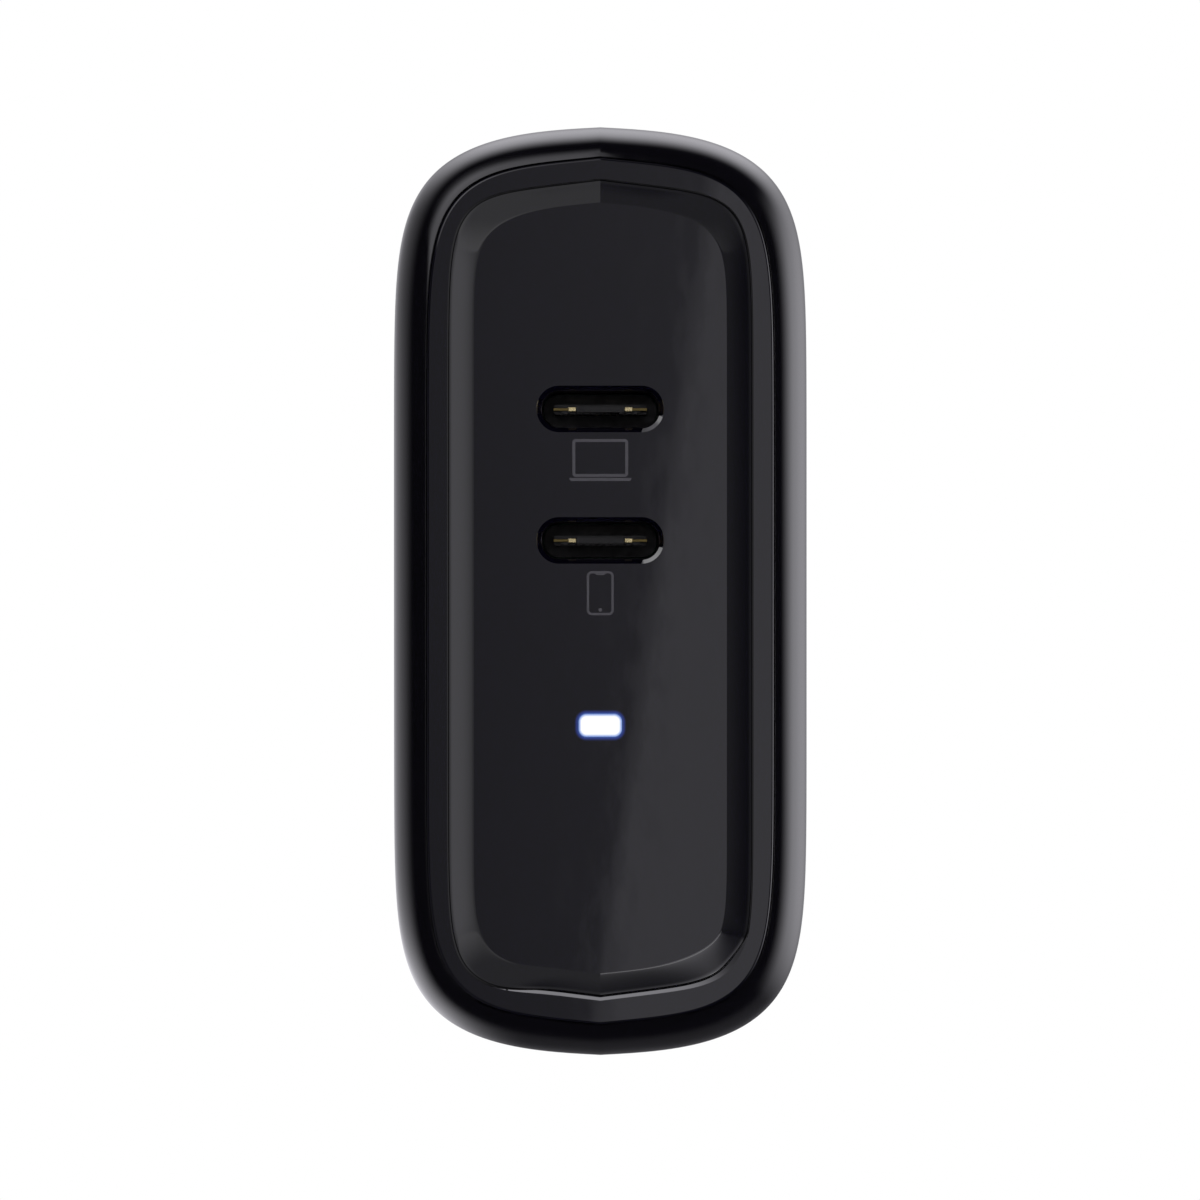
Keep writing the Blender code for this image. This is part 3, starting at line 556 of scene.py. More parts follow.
body_black = black_plastic(
    "body_black", ((0.0006, 0.0005, 0.0012), (0.0014, 0.0012, 0.0022)), (0.03, 0.07), 2e-7, 4e-8
)
gloss_black = black_plastic("gloss_black", *GLOSS)
panel_black = gloss_panel_with_painted_glow("panel_black")
carrier_black = black_plastic(
    "carrier_black", ((0.006, 0.006, 0.007), (0.012, 0.012, 0.013)), (0.28, 0.42), 4e-7, 1.5e-6
)
ink_grey = plain_plastic(
    "ink_grey", ((0.036, 0.035, 0.040), (0.050, 0.049, 0.055)), (0.35, 0.55), 5000, 1e-6
)
lens_lit = lit_lens("milky_lens")
blade_nickel = brushed_metal(
    "blade_nickel", ((0.62, 0.60, 0.56), (0.76, 0.74, 0.70)), (0.16, 0.34), (1, 0.04, 1)
)
# painted shade: steel darkened far below bare steel, so the mouth set back in the port reads as
# shade
shaded_mouth_steel = brushed_metal(
    "shaded_mouth_steel", ((0.05, 0.05, 0.055), (0.09, 0.09, 0.095)), (0.30, 0.45), (1, 0.1, 1)
)
contact_gold = brushed_metal(
    "contact_gold", ((0.80, 0.66, 0.32), (0.92, 0.80, 0.48)), (0.18, 0.32), (1, 0.08, 1)
)
# painted shade: a darker copy of the contact gold, for the plate's thin edges set back behind its
# bright corners
shaded_gold = brushed_metal(
    "shaded_gold", ((0.20, 0.15, 0.05), (0.27, 0.21, 0.09)), (0.30, 0.45), (1, 0.08, 1)
)
tongue_black = plain_plastic(
    "tongue_black", ((0.003, 0.003, 0.003), (0.008, 0.008, 0.008)), (0.35, 0.50), 4000
)


# ---------------------------------------------------------------- front


def light_hole(growth, span):
    profile = [(growth, y) for y in span]
    return hole(LIGHT_BAR, LIGHT_CORNER, LIGHT_HEIGHT, profile)


def housing():
    """The deep front shell, open at the back, with holes for the ports and the light."""
    inner_front = SEAT_Y + WALL
    edge = PARTING_Y - FIT
    rings = [ring(BODY, inner_front, WALL), ring(BODY, edge, WALL)]
    rings += turn_over(ring(BODY, edge, PARTING_ROUND), ring(BODY, edge - PARTING_ROUND), 4)
    rings += turn_over(ring(BODY, FRONT_Y + FRONT_FILLET), ring(RING_OUTER, FRONT_Y, -MOUTH_GAP))
    rings.append(ring(RING_OUTER, SEAT_Y, -MOUTH_GAP))
    made = solid("housing_shell", loft(rings))
    span = (FRONT_Y, inner_front + OVERSHOOT)
    port = [(FIT, y) for y in span]
    cut = [hole(PORT_OPENING, port_corner(PORT_OPENING), z, port) for z in PORT_HEIGHTS.values()]
    combine(made, cut + [light_hole(FIT, span)], "DIFFERENCE")
    place(made, SHELL, body_black, ["main_housing"])


def foot_ring(outline, y, inset, foot_inset, drop=0.0):
    """A ring drawn in further, and set back by the drop, along its foot and lower right corner."""
    plain = ring(outline, y, inset)
    share = fade(plain[:, 2], *FOOT_FADE_Z) * fade(plain[:, 0], *FOOT_FADE_X)
    share = share * share * (3 - 2 * share)
    return blend(plain, ring(outline, y + drop, foot_inset), share[:, None])


def face_ring():
    """The flat band, with a chamfer inside its foot."""
    edge = (ring(RING_OUTER, FRONT_Y + EDGE_ROUND), ring(RING_OUTER, FRONT_Y, EDGE_ROUND))
    rings = [ring(RING_OUTER, PANEL_BACK_Y)]
    rings += turn_over(*edge, 5)
    rings.append(foot_ring(RING_INNER, FRONT_Y, 0.0, FOOT_TOP_INSET))
    rings.append(foot_ring(RING_INNER, FRONT_Y + FOOT_RIM, 0.0, FOOT_BASE_INSET, FOOT_DROP))
    rings.append(foot_ring(RING_INNER, PANEL_BACK_Y, 0.0, FOOT_BASE_INSET))
    made = solid("face_ring", loft(rings, closed=True))
    place(made, SHELL, gloss_black, ["bezel_ring"])


def dish():
    """Rings down the panel's dished border, which steepens, slopes in and eases out to the flat."""
    outside = foot_ring(PANEL_OUTER, PANEL_EDGE_Y, PANEL_BEVEL, FOOT_GAP + PANEL_BEVEL)
    inside = foot_ring(PANEL_FLAT, PANEL_FLAT_Y, 0.0, FOOT_GAP)
    shares = np.linspace(0, 1, DISH_STEPS + 1)
    steepening = blend(DISH_START, 1.0, fade(shares, 0, DISH_EASE_IN))
    slope = steepening * (1 - shares) ** DISH_EASE_OUT
    fall = np.concatenate([[0], np.cumsum((slope[1:] + slope[:-1]) / 2)])
    rings = []
    for share, drop in zip(shares, fall / fall[-1]):
        loop = blend(outside, inside, share)
        loop[:, 1] = blend(PANEL_EDGE_Y, PANEL_FLAT_Y, drop)
        rings.append(loop)
    return rings


def port_cutter(z):
    """A port's cut-out: a steep lip all round, and a shallow facet at its lower right."""
    wide, high = PORT_OPENING
    corner = port_corner(PORT_OPENING)

    def slot_loop(inset):
        size = (wide - 2 * inset, high - 2 * inset)
        return np.array(rounded(*size, corner - inset, (0.0, z), 24))

    opening, lip, counterbore = slot_loop(0.0), slot_loop(PORT_LIP), slot_loop(COUNTERBORE)
    middle = (wide / 2 - corner, z - high / 2 + corner)
    bearing = np.degrees(np.arctan2(opening[:, 1] - middle[1], opening[:, 0] - middle[0]))
    first, last = FACET_BEARINGS
    facet = fade(bearing, first, first + FACET_FADE) * fade(bearing, last, last - FACET_FADE)
    inward = (lip - opening) / PORT_LIP * (FACET_WIDTH * facet)[:, None]
    step = PANEL_FLAT_Y + FACET_RIM + FACET_DEPTH * facet
    lip_end = PANEL_FLAT_Y + PORT_LIP_DEPTH
    foot = lip_end + PORT_LIP_FOOT
    front, back = FRONT_Y - OVERSHOOT, PANEL_BACK_Y + OVERSHOOT
    levels = [(opening, front), (opening, PANEL_FLAT_Y), (opening + inward, step)]
    levels += [(lip, lip_end), (lip, foot), (counterbore, foot), (counterbore, back)]
    loops = []
    for points, y in levels:
        depth = np.broadcast_to(y, len(points))
        loops.append(np.column_stack([points[:, 0], depth, points[:, 1]]))
    return loft(loops)


def face_panel():
    """The gloss panel, with its dished border and the holes for the ports and the light."""
    rings = [foot_ring(PANEL_OUTER, PANEL_BACK_Y, 0.0, FOOT_GAP)]
    rings.append(foot_ring(PANEL_OUTER, PANEL_EDGE_Y + PANEL_BEVEL_DEPTH, 0.0, FOOT_GAP))
    rings += dish()
    made = solid("gloss_panel", loft(rings))
    cut = [port_cutter(z) for z in PORT_HEIGHTS.values()]
    cut.append(light_hole(0.0, (FRONT_Y - OVERSHOOT, PANEL_BACK_Y + OVERSHOOT)))
    combine(made, cut, "DIFFERENCE")
    place(made, SHELL, panel_black, ["face_panel"])


def light_bar():
    """The milky bar, a little smaller than its hole, with a round front edge."""
    size = [side - 2 * LIGHT_GAP for side in LIGHT_BAR]
    profile = [(0.0, LIGHT_BACK_Y)]
    for i in range(7):
        angle = i / 6 * math.pi / 2
        inset, drop = LIGHT_ROUND * (1 - math.cos(angle)), LIGHT_ROUND * (1 - math.sin(angle))
        profile.append((-inset, PANEL_FLAT_Y + drop))
    made = solid("light_bar", hole(size, LIGHT_CORNER - LIGHT_GAP, LIGHT_HEIGHT, profile))
    place(made, SHELL, lens_lit, ["light_pipe"])


# ---------------------------------------------------------------- ports


def mouth(where, z):
    """The steel mouth, its front rim rolled over, in steel darkened as painted shade."""
    corner = MOUTH_OUTER[1] * MOUTH_CORNER_SHARE
    rim = (MOUTH_OUTER[0] - MOUTH_INNER[0]) / 4
    loops = [rounded(*MOUTH_OUTER, corner, (0.0, z))]
    heights = [MOUTH_BACK_Y]
    for i in range(9):
        angle = i / 8 * math.pi
        inset = rim * (1 - math.cos(angle))
        wide, high = MOUTH_OUTER[0] - 2 * inset, MOUTH_OUTER[1] - 2 * inset
        loops.append(rounded(wide, high, corner - inset, (0.0, z)))
        heights.append(MOUTH_FRONT_Y + rim * (1 - math.sin(angle)))
    loops.append(loops[-1])
    heights.append(MOUTH_BACK_Y)
    skin = [[(u, y, v) for u, v in loop] for loop, y in zip(loops, heights)]
    made = solid(f"port_mouth_{where}", loft(skin, closed=True))
    place(made, SHELL, shaded_mouth_steel, [f"usb_c_mouth_{where}"])


def contact_places():
    """The middle of each contact across the tongue."""
    return [(i - (CONTACT_COUNT - 1) / 2) * CONTACT_PITCH for i in range(CONTACT_COUNT)]


def tongue(where, z):
    """The black tongue: a nose between its gold corners, with a notch under it for each contact."""
    front, back = TONGUE_FRONT_Y, MOUTH_BACK_Y
    slab_front = front + NOSE_LENGTH
    overlap = 0.1
    width, thick = TONGUE
    base = prism(rounded(*TONGUE_BASE, (0.0, z)), "Y", (back - TONGUE_BASE_DEPTH, back))
    made = solid(f"port_tongue_{where}", base)
    slab = prism(rounded(width - 0.1, thick, 0.12, (0.0, z), 4), "Y", (slab_front, back - 1.3))
    nose = prism(rounded(*NOSE, (0.0, z), 4), "Y", (front, slab_front + overlap))
    under = rounded(*CHIN, (0.0, z - CHIN_DROP), 4)
    chin = prism(under, "Y", (front + CHIN_SETBACK, slab_front + overlap))
    combine(made, [slab, nose, chin], "UNION")
    cut = []
    notch = [z + height for height in NOTCH_HEIGHTS]
    for x in contact_places():
        cut.append(box(about(x, NOTCH_HALF), (front - 0.2, slab_front), notch))
        for side in (-1, 1):
            groove = sorted(z + side * height for height in GROOVE_HEIGHTS)
            cut.append(box(about(x, GROOVE_HALF), (slab_front + 0.3, front + GROOVE_END), groove))
    slit = (z - PLATE_HALF - SLIT_GAP, z + PLATE_HALF + SLIT_GAP)
    depth = [front + end for end in SLIT_ENDS]
    cut.append(box((-SLIT_HALF_WIDTH, SLIT_HALF_WIDTH), depth, slit))
    combine(made, cut, "DIFFERENCE")
    round_edges(made, 0.02, 2)
    place(made, SHELL, tongue_black, [f"usb_c_tongue_{where}"])


def midplate(where, z):
    """The gold-plated plate in the tongue: bright corners in front, thin edges behind them in a
    darker copy of the gold, as painted shade.
    """
    half = TONGUE[0] / 2
    front = TONGUE_FRONT_Y
    side_y, corner_y, middle_y = front + PLATE_SIDE, front + PLATE_CORNER, front + PLATE_MIDDLE
    inner, outer = PLATE_CORNER_SPAN
    points = [(-half, side_y), (-outer, side_y), (-outer, corner_y)]
    points += [(-inner, corner_y), (-inner, middle_y)]
    points += [(-x, y) for x, y in points[::-1]]
    points += [(half, front + PLATE_END), (-half, front + PLATE_END)]
    made = solid(f"port_plate_{where}", prism(points, "Z", about(z, PLATE_HALF)))
    blocks = []
    for side in (-1, 1):
        span = sorted(side * x for x in CAP_SPAN)
        blocks.append(box(span, [front + end for end in CAP_ENDS], about(z, CAP_HALF)))
    round_edges(made, 0.03, 3)
    place(made, SHELL, shaded_gold, [f"usb_c_midplate_{where}"])
    corners = solid(f"port_plate_corners_{where}", blocks[0])
    combine(corners, blocks[1:], "UNION")
    round_edges(corners, 0.04, 3)
    place(corners, SHELL, contact_gold)


def contacts(where, z):
    """Twelve flat contacts in each face of the tongue."""
    bm = bmesh.new()
    depth = [TONGUE_FRONT_Y + end for end in CONTACT_ENDS]
    for side in (-1, 1):
        level = sorted(z + side * height for height in CONTACT_HEIGHTS)
        for x in contact_places():
            part = box(about(x, CONTACT_HALF), depth, level)
            mesh = bpy.data.meshes.new("part")
            part.to_mesh(mesh)
            part.free()
            bm.from_mesh(mesh)
            bpy.data.meshes.remove(mesh)
    made = solid(f"port_contacts_{where}", bm)
    round_edges(made, 0.02, 2)
    place(made, SHELL, contact_gold)


# ---------------------------------------------------------------- printed signs


def outline_stroke(name, outer, inner):
    """A closed printed line between two loops."""
    low, high = INK_Y
    loops = [(outer, high), (outer, low), (inner, low), (inner, high)]
    return solid(name, loft([[(u, y, v) for u, v in loop] for loop, y in loops], closed=True))


def laptop_sign():
    """A plain screen above its base."""
    centre = (0.0, 9.485)
    wide, high, stroke = 3.98, 2.70, 0.21
    outer = rounded(wide, high, 0.25, centre, 6)
    inner = rounded(wide - 2 * stroke, high - 2 * stroke, 0.05, centre, 6)
    screen = outline_stroke("laptop_sign_screen", outer, inner)
    place(screen, SHELL, ink_grey)
    top = centre[1] - high / 2 - 0.07
    half, foot, thick = 2.20, 2.08, 0.22
    points = [(-half, top), (half, top), (half, top - thick * 0.5), (foot, top - thick)]
    points += [(-foot, top - thick), (-half, top - thick * 0.5)]
    base = solid("laptop_sign_base", prism(points, "Y", INK_Y))
    round_edges(base, 0.005, 1)
    place(base, SHELL, ink_grey)


def phone_sign():
    """A plain phone, with a notch at the top of its screen and a dot at the bottom."""
    centre = (0.0, -0.15)
    wide, high, stroke = 1.92, 3.14, 0.165
    outer = rounded(wide, high, 0.36, centre, 8)
    inner = rounded(wide - 2 * stroke, high - 2 * stroke, 0.22, centre, 8)
    frame_line = outline_stroke("phone_sign_frame", outer, inner)
    place(frame_line, SHELL, ink_grey)
    top = centre[1] + high / 2 - stroke - 0.005
    half = [(0.46, 0.0), (0.32, -0.05), (0.24, -0.11)]
    points = [(x, top + z) for x, z in half] + [(-x, top + z) for x, z in half[::-1]]
    notch = solid("phone_sign_notch", prism(points, "Y", INK_Y))
    place(notch, SHELL, ink_grey)
    button = circle(0.13, (0.0, centre[1] - high / 2 + 0.38), 24)
    dot = solid("phone_sign_dot", prism(button, "Y", INK_Y))
    place(dot, SHELL, ink_grey)


# ---------------------------------------------------------------- rear


def blade_middle(side):
    return side * BLADE_SPACING / 2


def channel_spans():
    """Where the two channels for the folded blades lie across the wall face."""
    return [about(blade_middle(side), CHANNEL_HALF) for side in (-1, 1)]


def rear_cover():
    """The rear shell, its lip and its inner blocks, with the recess that takes the folded plug."""
    inner = WALL + FIT + LIP_WALL
    lip_end = PARTING_Y - LIP_DEPTH
    rings = [ring(BODY, -WALL, inner), ring(BODY, lip_end, inner), ring(BODY, lip_end, WALL + FIT)]
    rings.append(ring(BODY, PARTING_Y, WALL + FIT))
    edge = turn_over(ring(BODY, PARTING_Y + PARTING_ROUND), ring(BODY, PARTING_Y, PARTING_ROUND), 4)
    rings += edge[::-1]
    rings += turn_over(ring(BODY, -REAR_FILLET), ring(BODY, 0.0, REAR_FILLET), 10)
    made = solid("rear_shell", loft(rings))
    window = about(PIVOT_Z, RECESS_HALF_HEIGHT)
    root = -1.5
    added = []
    for low, high in channel_spans():
        walls = (low - CHANNEL_WALL, high + CHANNEL_WALL)
        added.append(box(walls, (-CHANNEL_DEPTH - CHANNEL_WALL, root), (-13.9, window[0])))
    added.append(box((-10.2, 10.2), (-6.2, root), (-13.7, -3.8)))
    added.append(box((-2.4, 2.4), (-9.0, root), (-3.4, 4.4)))
    for span in ((-12.75, -9.1), (9.1, 12.75)):
        added.append(box(span, (PIVOT_Y + 0.1, root), about(PIVOT_Z, SADDLE_HALF_HEIGHT)))
    combine(made, added, "UNION")
    cut = [well((-8.9, 8.9), window, RECESS_DEPTH)]
    channel = (CHANNEL_FOOT_Z, window[0] + 0.5)
    for span in channel_spans():
        cut.append(well(span, channel, CHANNEL_DEPTH, corner=0.5, foot=0.4))
    cut.append(well((-9.0, 9.0), (-12.5, -5.0), 5.0, corner=2.6, foot=2.2, flare=0.4))
    end = TRUNNION_END + 0.2
    cut.append(prism(circle(TRUNNION_RADIUS + 0.15, (PIVOT_Y, PIVOT_Z)), "X", (-end, end)))
    combine(made, cut, "DIFFERENCE")
    place(made, SHELL, body_black, ["rear_cover"])


def blade_outline(growth=0.0):
    """The blade in (Y, Z) about the pivot: tail, neck, shoulder, flat and tapered tip."""
    tail, neck, wide = (w / 2 + growth for w in (3.0, 4.4, 6.35))
    shoulder = BARREL_FLAT + 0.1
    tip = BLADE_TIP_Y - PIVOT_Y
    upper = [(-6.4, tail), (-3.0, tail), (-3.0, neck), (shoulder, neck), (shoulder, wide)]
    upper += [(tip - 1.8, wide), (tip - 0.5, wide - 1.0), (tip, wide - 1.5)]
    whole = [(y, -z) for y, z in upper] + upper[::-1]
    return [(y + PIVOT_Y, z + PIVOT_Z) for y, z in whole]


def barrel_outline():
    """A circle with a flat for the deployed plug, at +Y, and one for the folded plug, at +Z."""
    half = math.acos(BARREL_FLAT / BARREL_RADIUS)
    stops = [half, math.pi / 2 - half, math.pi / 2 + half, 2 * math.pi - half]
    angles = list(np.linspace(stops[0], stops[1], 10)) + list(np.linspace(stops[2], stops[3], 60))
    y, z = np.cos(angles), np.sin(angles)
    return list(zip(PIVOT_Y + BARREL_RADIUS * y, PIVOT_Z + BARREL_RADIUS * z))


def plug():
    """The barrel on its trunnions, with three grip grooves, and the two blades moulded into it."""
    ends = (-BARREL_HALF_LENGTH, BARREL_HALF_LENGTH)
    made = solid("plug_barrel", prism(barrel_outline(), "X", ends))
    pin = circle(TRUNNION_RADIUS, (PIVOT_Y, PIVOT_Z))
    combine(made, [prism(pin, "X", (-TRUNNION_END, TRUNNION_END))], "UNION")
    cut = []
    for side in (-1, 1):
        span = about(blade_middle(side), BLADE_HALF_THICKNESS + BLADE_GAP)
        cut.append(prism(blade_outline(BLADE_GAP), "X", span))
    for z in GRIP_PLACES:
        groove = circle(GRIP_RADIUS, (PIVOT_Y + BARREL_FLAT + GRIP_RISE, PIVOT_Z + z), 20)
        cut.append(prism(groove, "X", (-GRIP_HALF_LENGTH, GRIP_HALF_LENGTH)))
    combine(made, cut, "DIFFERENCE")
    round_edges(made, 0.15, 3, 40)
    place(made, PLUG, carrier_black, ["blade_carrier"])
    for name, side in (("left", -1), ("right", 1)):
        middle = blade_middle(side)
        sides = about(middle, BLADE_HALF_THICKNESS)
        blade = solid(f"blade_{name}", prism(blade_outline(), "X", sides))
        bore = circle(BLADE_BORE_RADIUS, (BLADE_BORE_Y, PIVOT_Z))
        combine(blade, [prism(bore, "X", about(middle, 1))], "DIFFERENCE")
        round_edges(blade, 0.18, 4)
        place(blade, PLUG, blade_nickel, [f"{name}_blade"])


# ---------------------------------------------------------------- what lies inside

INSIDE = [
    (
        plain_plastic(
            "board_green", ((0.006, 0.07, 0.028), (0.012, 0.12, 0.045)), (0.30, 0.45), 900
        ),
        ["main_board", "port_board"],
    ),
    (
        brushed_metal(
            "screw_steel", ((0.50, 0.50, 0.52), (0.66, 0.66, 0.68)), (0.22, 0.38), (1, 1, 0.1)
        ),
        ["bracket_screw_upper", "bracket_screw_lower"],
    ),
    (
        brushed_metal(
            "aluminium", ((0.62, 0.63, 0.64), (0.76, 0.77, 0.78)), (0.28, 0.45), (1, 1, 0.05)
        ),
        ["heat_spreader", "output_capacitor_1", "output_capacitor_2"],
    ),
    (
        brushed_metal(
            "spring_bronze", ((0.60, 0.34, 0.16), (0.74, 0.46, 0.24)), (0.22, 0.38), (1, 1, 0.05)
        ),
        ["line_contact_spring", "neutral_contact_spring"],
    ),
    (
        wound_wire("wound_copper", ((0.30, 0.09, 0.03), (0.78, 0.34, 0.14)), 0.35, "X"),
        ["transformer_winding", "choke_winding_line", "choke_winding_neutral"],
    ),
    (
        plain_plastic(
            "ferrite", ((0.018, 0.018, 0.021), (0.045, 0.045, 0.050)), (0.50, 0.70), 4000, 9e-6
        ),
        ["transformer_core_top", "transformer_core_base", "choke_core"]
        + ["output_inductor_lower", "output_inductor_upper"],
    ),
    (
        plain_plastic(
            "black_resin", ((0.012, 0.012, 0.013), (0.026, 0.026, 0.027)), (0.42, 0.60), 2500
        ),
        ["plug_bracket", "port_controller_upper", "port_controller_lower", "board_link_header"]
        + ["bulk_capacitor_1", "bulk_capacitor_2", "bulk_capacitor_3", "bridge_rectifier"]
        + ["primary_switch", "optocoupler", "output_rectifier", "fuse", "line_lead"],
    ),
    (
        plain_plastic("cream_plastic", ((0.66, 0.61, 0.46), (0.80, 0.75, 0.60)), (0.40, 0.60), 700),
        ["transformer_bobbin", "insulating_barrier", "status_lamp"],
    ),
    (
        plain_plastic("yellow_film", ((0.72, 0.54, 0.03), (0.86, 0.68, 0.08)), (0.25, 0.45), 800),
        ["transformer_tape", "x_capacitor"],
    ),
    (
        plain_plastic("blue_lacquer", ((0.015, 0.09, 0.36), (0.03, 0.15, 0.52)), (0.25, 0.40), 900),
        ["varistor", "y_capacitor"],
    ),
    (
        plain_plastic("green_lacquer", ((0.02, 0.22, 0.07), (0.04, 0.36, 0.12)), (0.25, 0.40), 900),
        ["inrush_thermistor"],
    ),
    (
        plain_plastic("white_sleeve", ((0.62, 0.62, 0.62), (0.76, 0.76, 0.76)), (0.35, 0.50), 1200),
        ["neutral_lead"],
    ),
    (
        plain_plastic(
            "grey_pad", ((0.28, 0.30, 0.34), (0.42, 0.44, 0.49)), (0.70, 0.90), 2500, 2e-5
        ),
        ["thermal_pad"],
    ),
    (
        plain_plastic("amber_sheet", ((0.48, 0.34, 0.09), (0.62, 0.46, 0.15)), (0.20, 0.35), 600),
        ["insulating_sheet"],
    ),
]


def dress_inside():
    """Gives the carried-over CAD nodes their materials."""
    for look, names in INSIDE:
        for name in names:
            NODES[name].data.materials.clear()
            NODES[name].data.materials.append(look)


# ---------------------------------------------------------------- studio

CAMERA_LENS = 210.8
CAMERA_AT = (-0.00002, -0.560, -0.000637)
FLOOR_EDGE = ((1200.0, -206.0), (1206.0, -203.0), (1204.0, -200.5), (1200.0, -200.0))


def floor():
    """A pale round table top, well below the charger."""
    rings = []
    for radius, z in FLOOR_EDGE:
        rings.append([(x, y, z) for x, y in circle(radius, segments=128)])
    made = solid("floor", loft(rings))
    look, g, shader = shader_of("pale_floor")
    grey, pale = (0.78, 0.78, 0.78, 1), (0.84, 0.84, 0.84, 1)
    g.feed(shader.inputs["Base Color"], g.mix(g.noise(6, 4), grey, pale))
    g.feed(shader.inputs["Roughness"], g.ramp(g.noise(40, 4), 0.3, 0.7, 0.55, 0.75))
    g.feed(shader.inputs["Normal"], g.bump(g.noise(600, 3), 2e-5))
    made.data.materials.append(look)
    shade(made, 40)
    made.visible_glossy = False


Light = collections.namedtuple("Light", "towards half soft rise fall level strength")

# Each light is a patch of sky about the camera's axis. Towards is its direction round that axis,
# from right (0) through up (90), half is how far it reaches to each side of that direction, and
# soft is how far it fades out beyond. Rise is where it fades in, away from the axis, and fall is
# where it fades to the given level. All of these are degrees.
LIGHTS = {
    "window_right": Light(0, 0, 46, (18, 72), (84, 158), 0.10, 4.2),
    "ceiling": Light(82, 15, 62, (53, 96), (98, 158), 0.12, 4.9),
    "strip_up_left": Light(124, 31, 7, (4, 9), (9, 38), 0.0, 1.6),
    "corner_up_left": Light(126, 4, 30, (6, 20), (18, 52), 0.0, 0.9),
    "panel_down_left": Light(-142, 10, 34, (40, 98), (105, 165), 0.3, 3.0),
    "wall_left": Light(180, 25, 40, (45, 115), (140, 178), 0.3, 0.8),
    "backdrop": Light(90, 180, 1, (45, 80), (130, 178), 0.4, 0.22),
}
AMBIENT = 0.035
TINT = (1.0, 0.985, 1.05, 1.0)
FACE_CARD_EDGE = 0.00767
FACE_CARD_LEAN = 0.14
FACE_CARD_SOFT = 0.0012
FACE_CARD_LEVEL = 0.86
FACE_CARD_SHADE = (3.0, 0.5, 0.335)
FACE_CARD_REACH = (0.075, 0.11)


def lobe(g, theta, phi, light):
    """One light's strength in the direction theta from the camera's axis and phi round it."""
    away = g.math("WRAP", g.math("SUBTRACT", phi, math.radians(light.towards)), math.pi, -math.pi)
    away = g.math("ABSOLUTE", away)
    side = g.ramp(away, math.radians(light.half), math.radians(light.half + light.soft), 1.0, 0.0)
    rise = g.ramp(theta, *(math.radians(a) for a in light.rise))
    fall = g.ramp(theta, *(math.radians(a) for a in light.fall), 1.0, light.level)
    shape = g.math("MULTIPLY", side, rise)
    return g.math("MULTIPLY", shape, g.math("MULTIPLY", fall, light.strength))


def face_card(g, across, up):
    """The card beside the camera that the flat face mirrors: its leaning edge crosses the panel."""
    lean = g.math("MULTIPLY_ADD", up, -FACE_CARD_LEAN, across)
    by_x, by_z, level = FACE_CARD_SHADE
    shade_side = g.math("MULTIPLY_ADD", across, by_x, g.math("MULTIPLY_ADD", up, by_z, level))
    start, end = about(FACE_CARD_EDGE, FACE_CARD_SOFT)
    edge = g.ramp(lean, start, end, shade_side, FACE_CARD_LEVEL)
    reach = g.math("SQRT", g.math("ADD", g.math("POWER", across, 2.0), g.math("POWER", up, 2.0)))
    return g.math("MULTIPLY", edge, g.ramp(reach, *FACE_CARD_REACH, 1.0, 0.0))


def studio():
    """The sky that lights and is mirrored in the charger. The camera itself sees plain white."""
    world = bpy.data.worlds.new("studio")
    bpy.context.scene.world = world
    world.use_nodes = True
    tree = world.node_tree
    tree.nodes.clear()
    g = Graph(tree)
    split = g.node("ShaderNodeSeparateXYZ")
    g.feed(split.inputs[0], g.node("ShaderNodeTexCoord").outputs["Generated"])
    x, y, z = split.outputs
    theta = g.math("ARCCOSINE", g.math("MULTIPLY", y, -1.0))
    phi = g.math("ARCTAN2", z, x)
    total = AMBIENT
    for light in LIGHTS.values():
        total = g.math("ADD", lobe(g, theta, phi, light), total)
    ahead = g.math("MAXIMUM", g.math("MULTIPLY", y, -1.0), 0.01)
    card = face_card(g, g.math("DIVIDE", x, ahead), g.math("DIVIDE", z, ahead))
    total = g.math("ADD", total, card)
    lit = g.node("ShaderNodeBackground")
    lit.inputs["Color"].default_value = TINT
    g.feed(lit.inputs["Strength"], total)
    white = g.node("ShaderNodeBackground")
    white.inputs["Color"].default_value = (1.0, 1.0, 1.0, 1.0)
    choose = g.node("ShaderNodeMixShader")
    g.feed(choose.inputs[0], g.node("ShaderNodeLightPath").outputs["Is Camera Ray"])
    g.feed(choose.inputs[1], lit.outputs[0])
    g.feed(choose.inputs[2], white.outputs[0])
    out = g.node("ShaderNodeOutputWorld")
    g.feed(out.inputs[0], choose.outputs[0])
    bpy.context.scene.view_settings.view_transform = "Standard"


Card = collections.namedtuple("Card", "x z fade_x fade_z reach strength")

# Each card is a soft-edged sheet about 3 m in front of the face that lights the dished panel alone.
# The spans x and z are metres. The fades are the shares of the width or height over which each edge
# fades. Reach is how far from the camera's axis, in metres, the card starts and ends. The border
# slopes inwards and mirrors what is opposite: card_left shows in its right side.
CARDS = {
    "card_left": Card((-2.38, -0.2), (-1.1, 1.0), (0.42, 0.02), (0.5, 0.5), (0.19, 9.0), 0.2),
    "card_right": Card((0.1, 2.6), (-1.1, 1.1), (0.05, 0.3), (0.45, 0.45), (0.19, 9.0), 0.55),
    "card_low_right": Card((0.0, 2.3), (-3.4, -0.2), (0.01, 0.55), (0.36, 0.03), (0.19, 9.0), 0.72),
    "card_low_left": Card((-2.2, 0.0), (-3.0, -0.2), (0.5, 0.01), (0.34, 0.03), (0.19, 9.0), 0.27),
    "card_high": Card((-0.9, 2.4), (0.25, 3.2), (0.25, 0.3), (0.03, 0.4), (0.19, 9.0), 0.4),
    "card_corner": Card((-1.3, -0.1), (0.28, 1.3), (0.02, 0.02), (0.02, 0.02), (1.0, 1.2), 3.3),
}
CARD_Y = -3.0
CARD_STEP = -0.05
REACH_FADE = 0.03


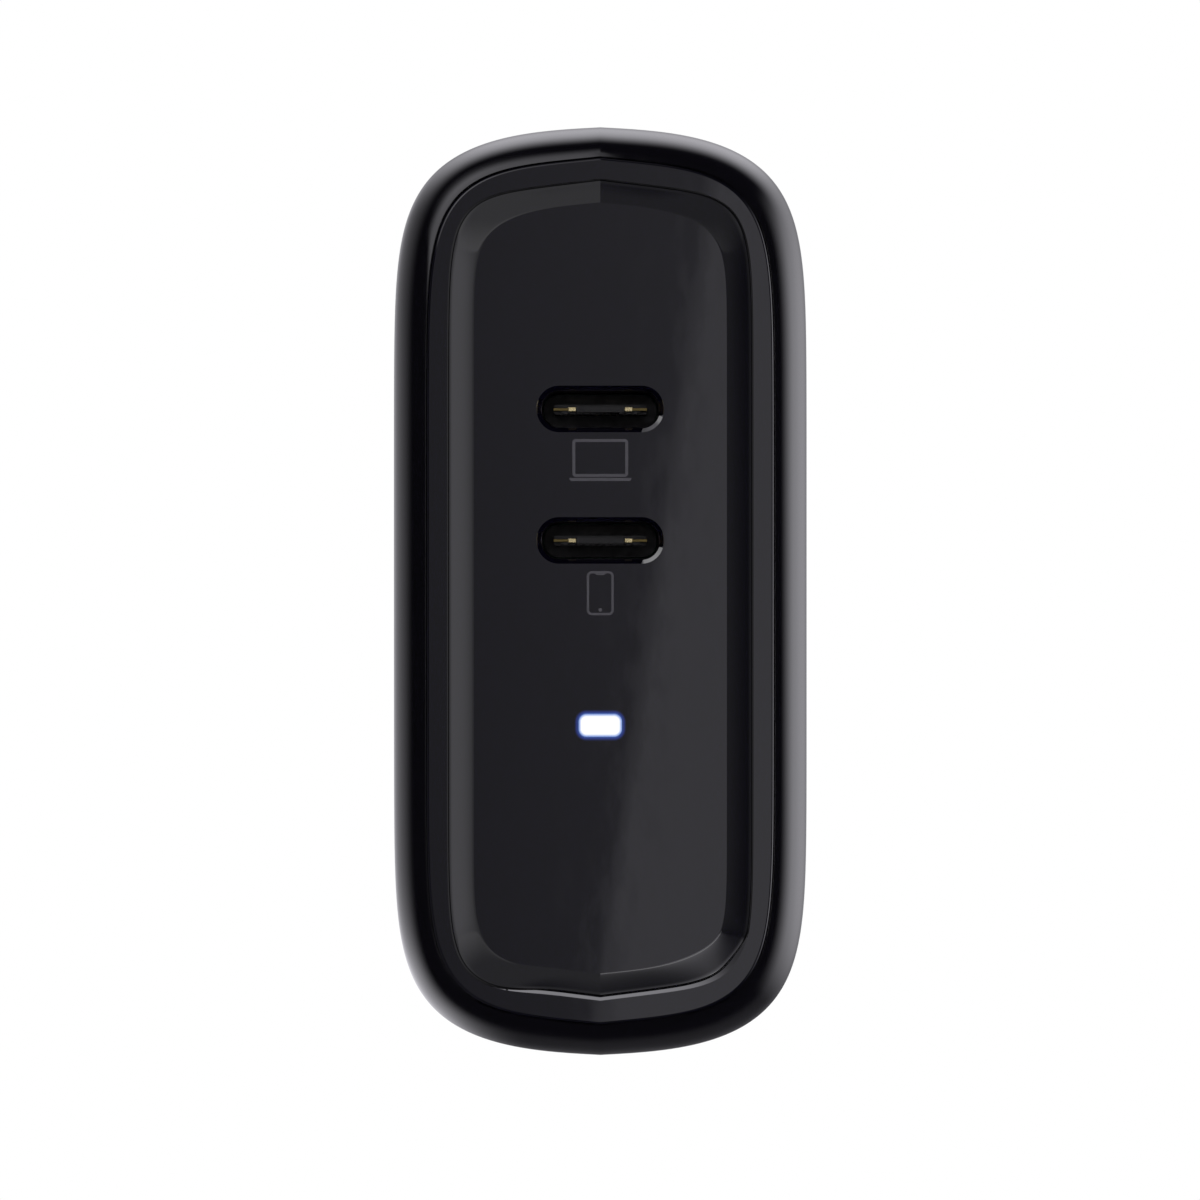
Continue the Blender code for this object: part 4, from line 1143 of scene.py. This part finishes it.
def panel_card(name, card, y, receivers):
    """One card: an area light facing the charger, its strength shaped by place on the sheet."""
    data = bpy.data.lights.new(name, "AREA")
    data.shape = "RECTANGLE"
    data.size = card.x[1] - card.x[0]
    data.size_y = card.z[1] - card.z[0]
    data.energy = 1.0
    data.use_nodes = True
    g = Graph(data.node_tree)
    split = g.node("ShaderNodeSeparateXYZ")
    g.feed(split.inputs[0], g.node("ShaderNodeNewGeometry").outputs["Parametric"])
    total = card.strength * math.pi * data.size * data.size_y
    reach = 0.0
    spans = (card.x, card.z)
    fades = (card.fade_x, card.fade_z)
    for share, (start, end), (first, last) in zip(split.outputs, spans, fades):
        total = g.math("MULTIPLY", total, g.ramp(share, 0.0, first))
        total = g.math("MULTIPLY", total, g.ramp(share, 1.0 - last, 1.0, 1.0, 0.0))
        at = g.math("MULTIPLY_ADD", share, end - start, start)
        reach = g.math("ADD", g.math("POWER", at, 2.0), reach)
    reach = g.math("SQRT", reach)
    start, end = card.reach
    total = g.math("MULTIPLY", total, g.ramp(reach, start, start + REACH_FADE))
    total = g.math("MULTIPLY", total, g.ramp(reach, end - REACH_FADE, end, 1.0, 0.0))
    g.feed(data.node_tree.nodes["Emission"].inputs["Strength"], total)
    made = bpy.data.objects.new(name, data)
    made.location = (sum(card.x) / 2, y, sum(card.z) / 2)
    made.rotation_euler = (math.pi / 2, 0.0, 0.0)
    made.visible_camera = False
    bpy.context.scene.collection.objects.link(made)
    made.light_linking.receiver_collection = receivers


def panel_cards():
    """The cards, each at its own depth, because one hides another that is level with it."""
    receivers = bpy.data.collections.new("dished_panel")
    receivers.objects.link(bpy.data.objects["gloss_panel"])
    for i, (name, card) in enumerate(CARDS.items()):
        panel_card(name, card, CARD_Y + i * CARD_STEP, receivers)


def camera():
    """Square on to the face, half a metre in front of it."""
    data = bpy.data.cameras.new("camera")
    data.sensor_width = 36.0
    data.lens = CAMERA_LENS
    data.clip_start = 0.01
    data.clip_end = 20.0
    made = bpy.data.objects.new("camera", data)
    made.location = CAMERA_AT
    made.rotation_euler = (math.pi / 2, 0.0, 0.0)
    bpy.context.scene.collection.objects.link(made)
    bpy.context.scene.camera = made


# ---------------------------------------------------------------- build

housing()
face_ring()
face_panel()
light_bar()
for port, height in PORT_HEIGHTS.items():
    mouth(port, height)
    tongue(port, height)
    midplate(port, height)
    contacts(port, height)
laptop_sign()
phone_sign()
rear_cover()
plug()
dress_inside()
floor()
studio()
panel_cards()
camera()
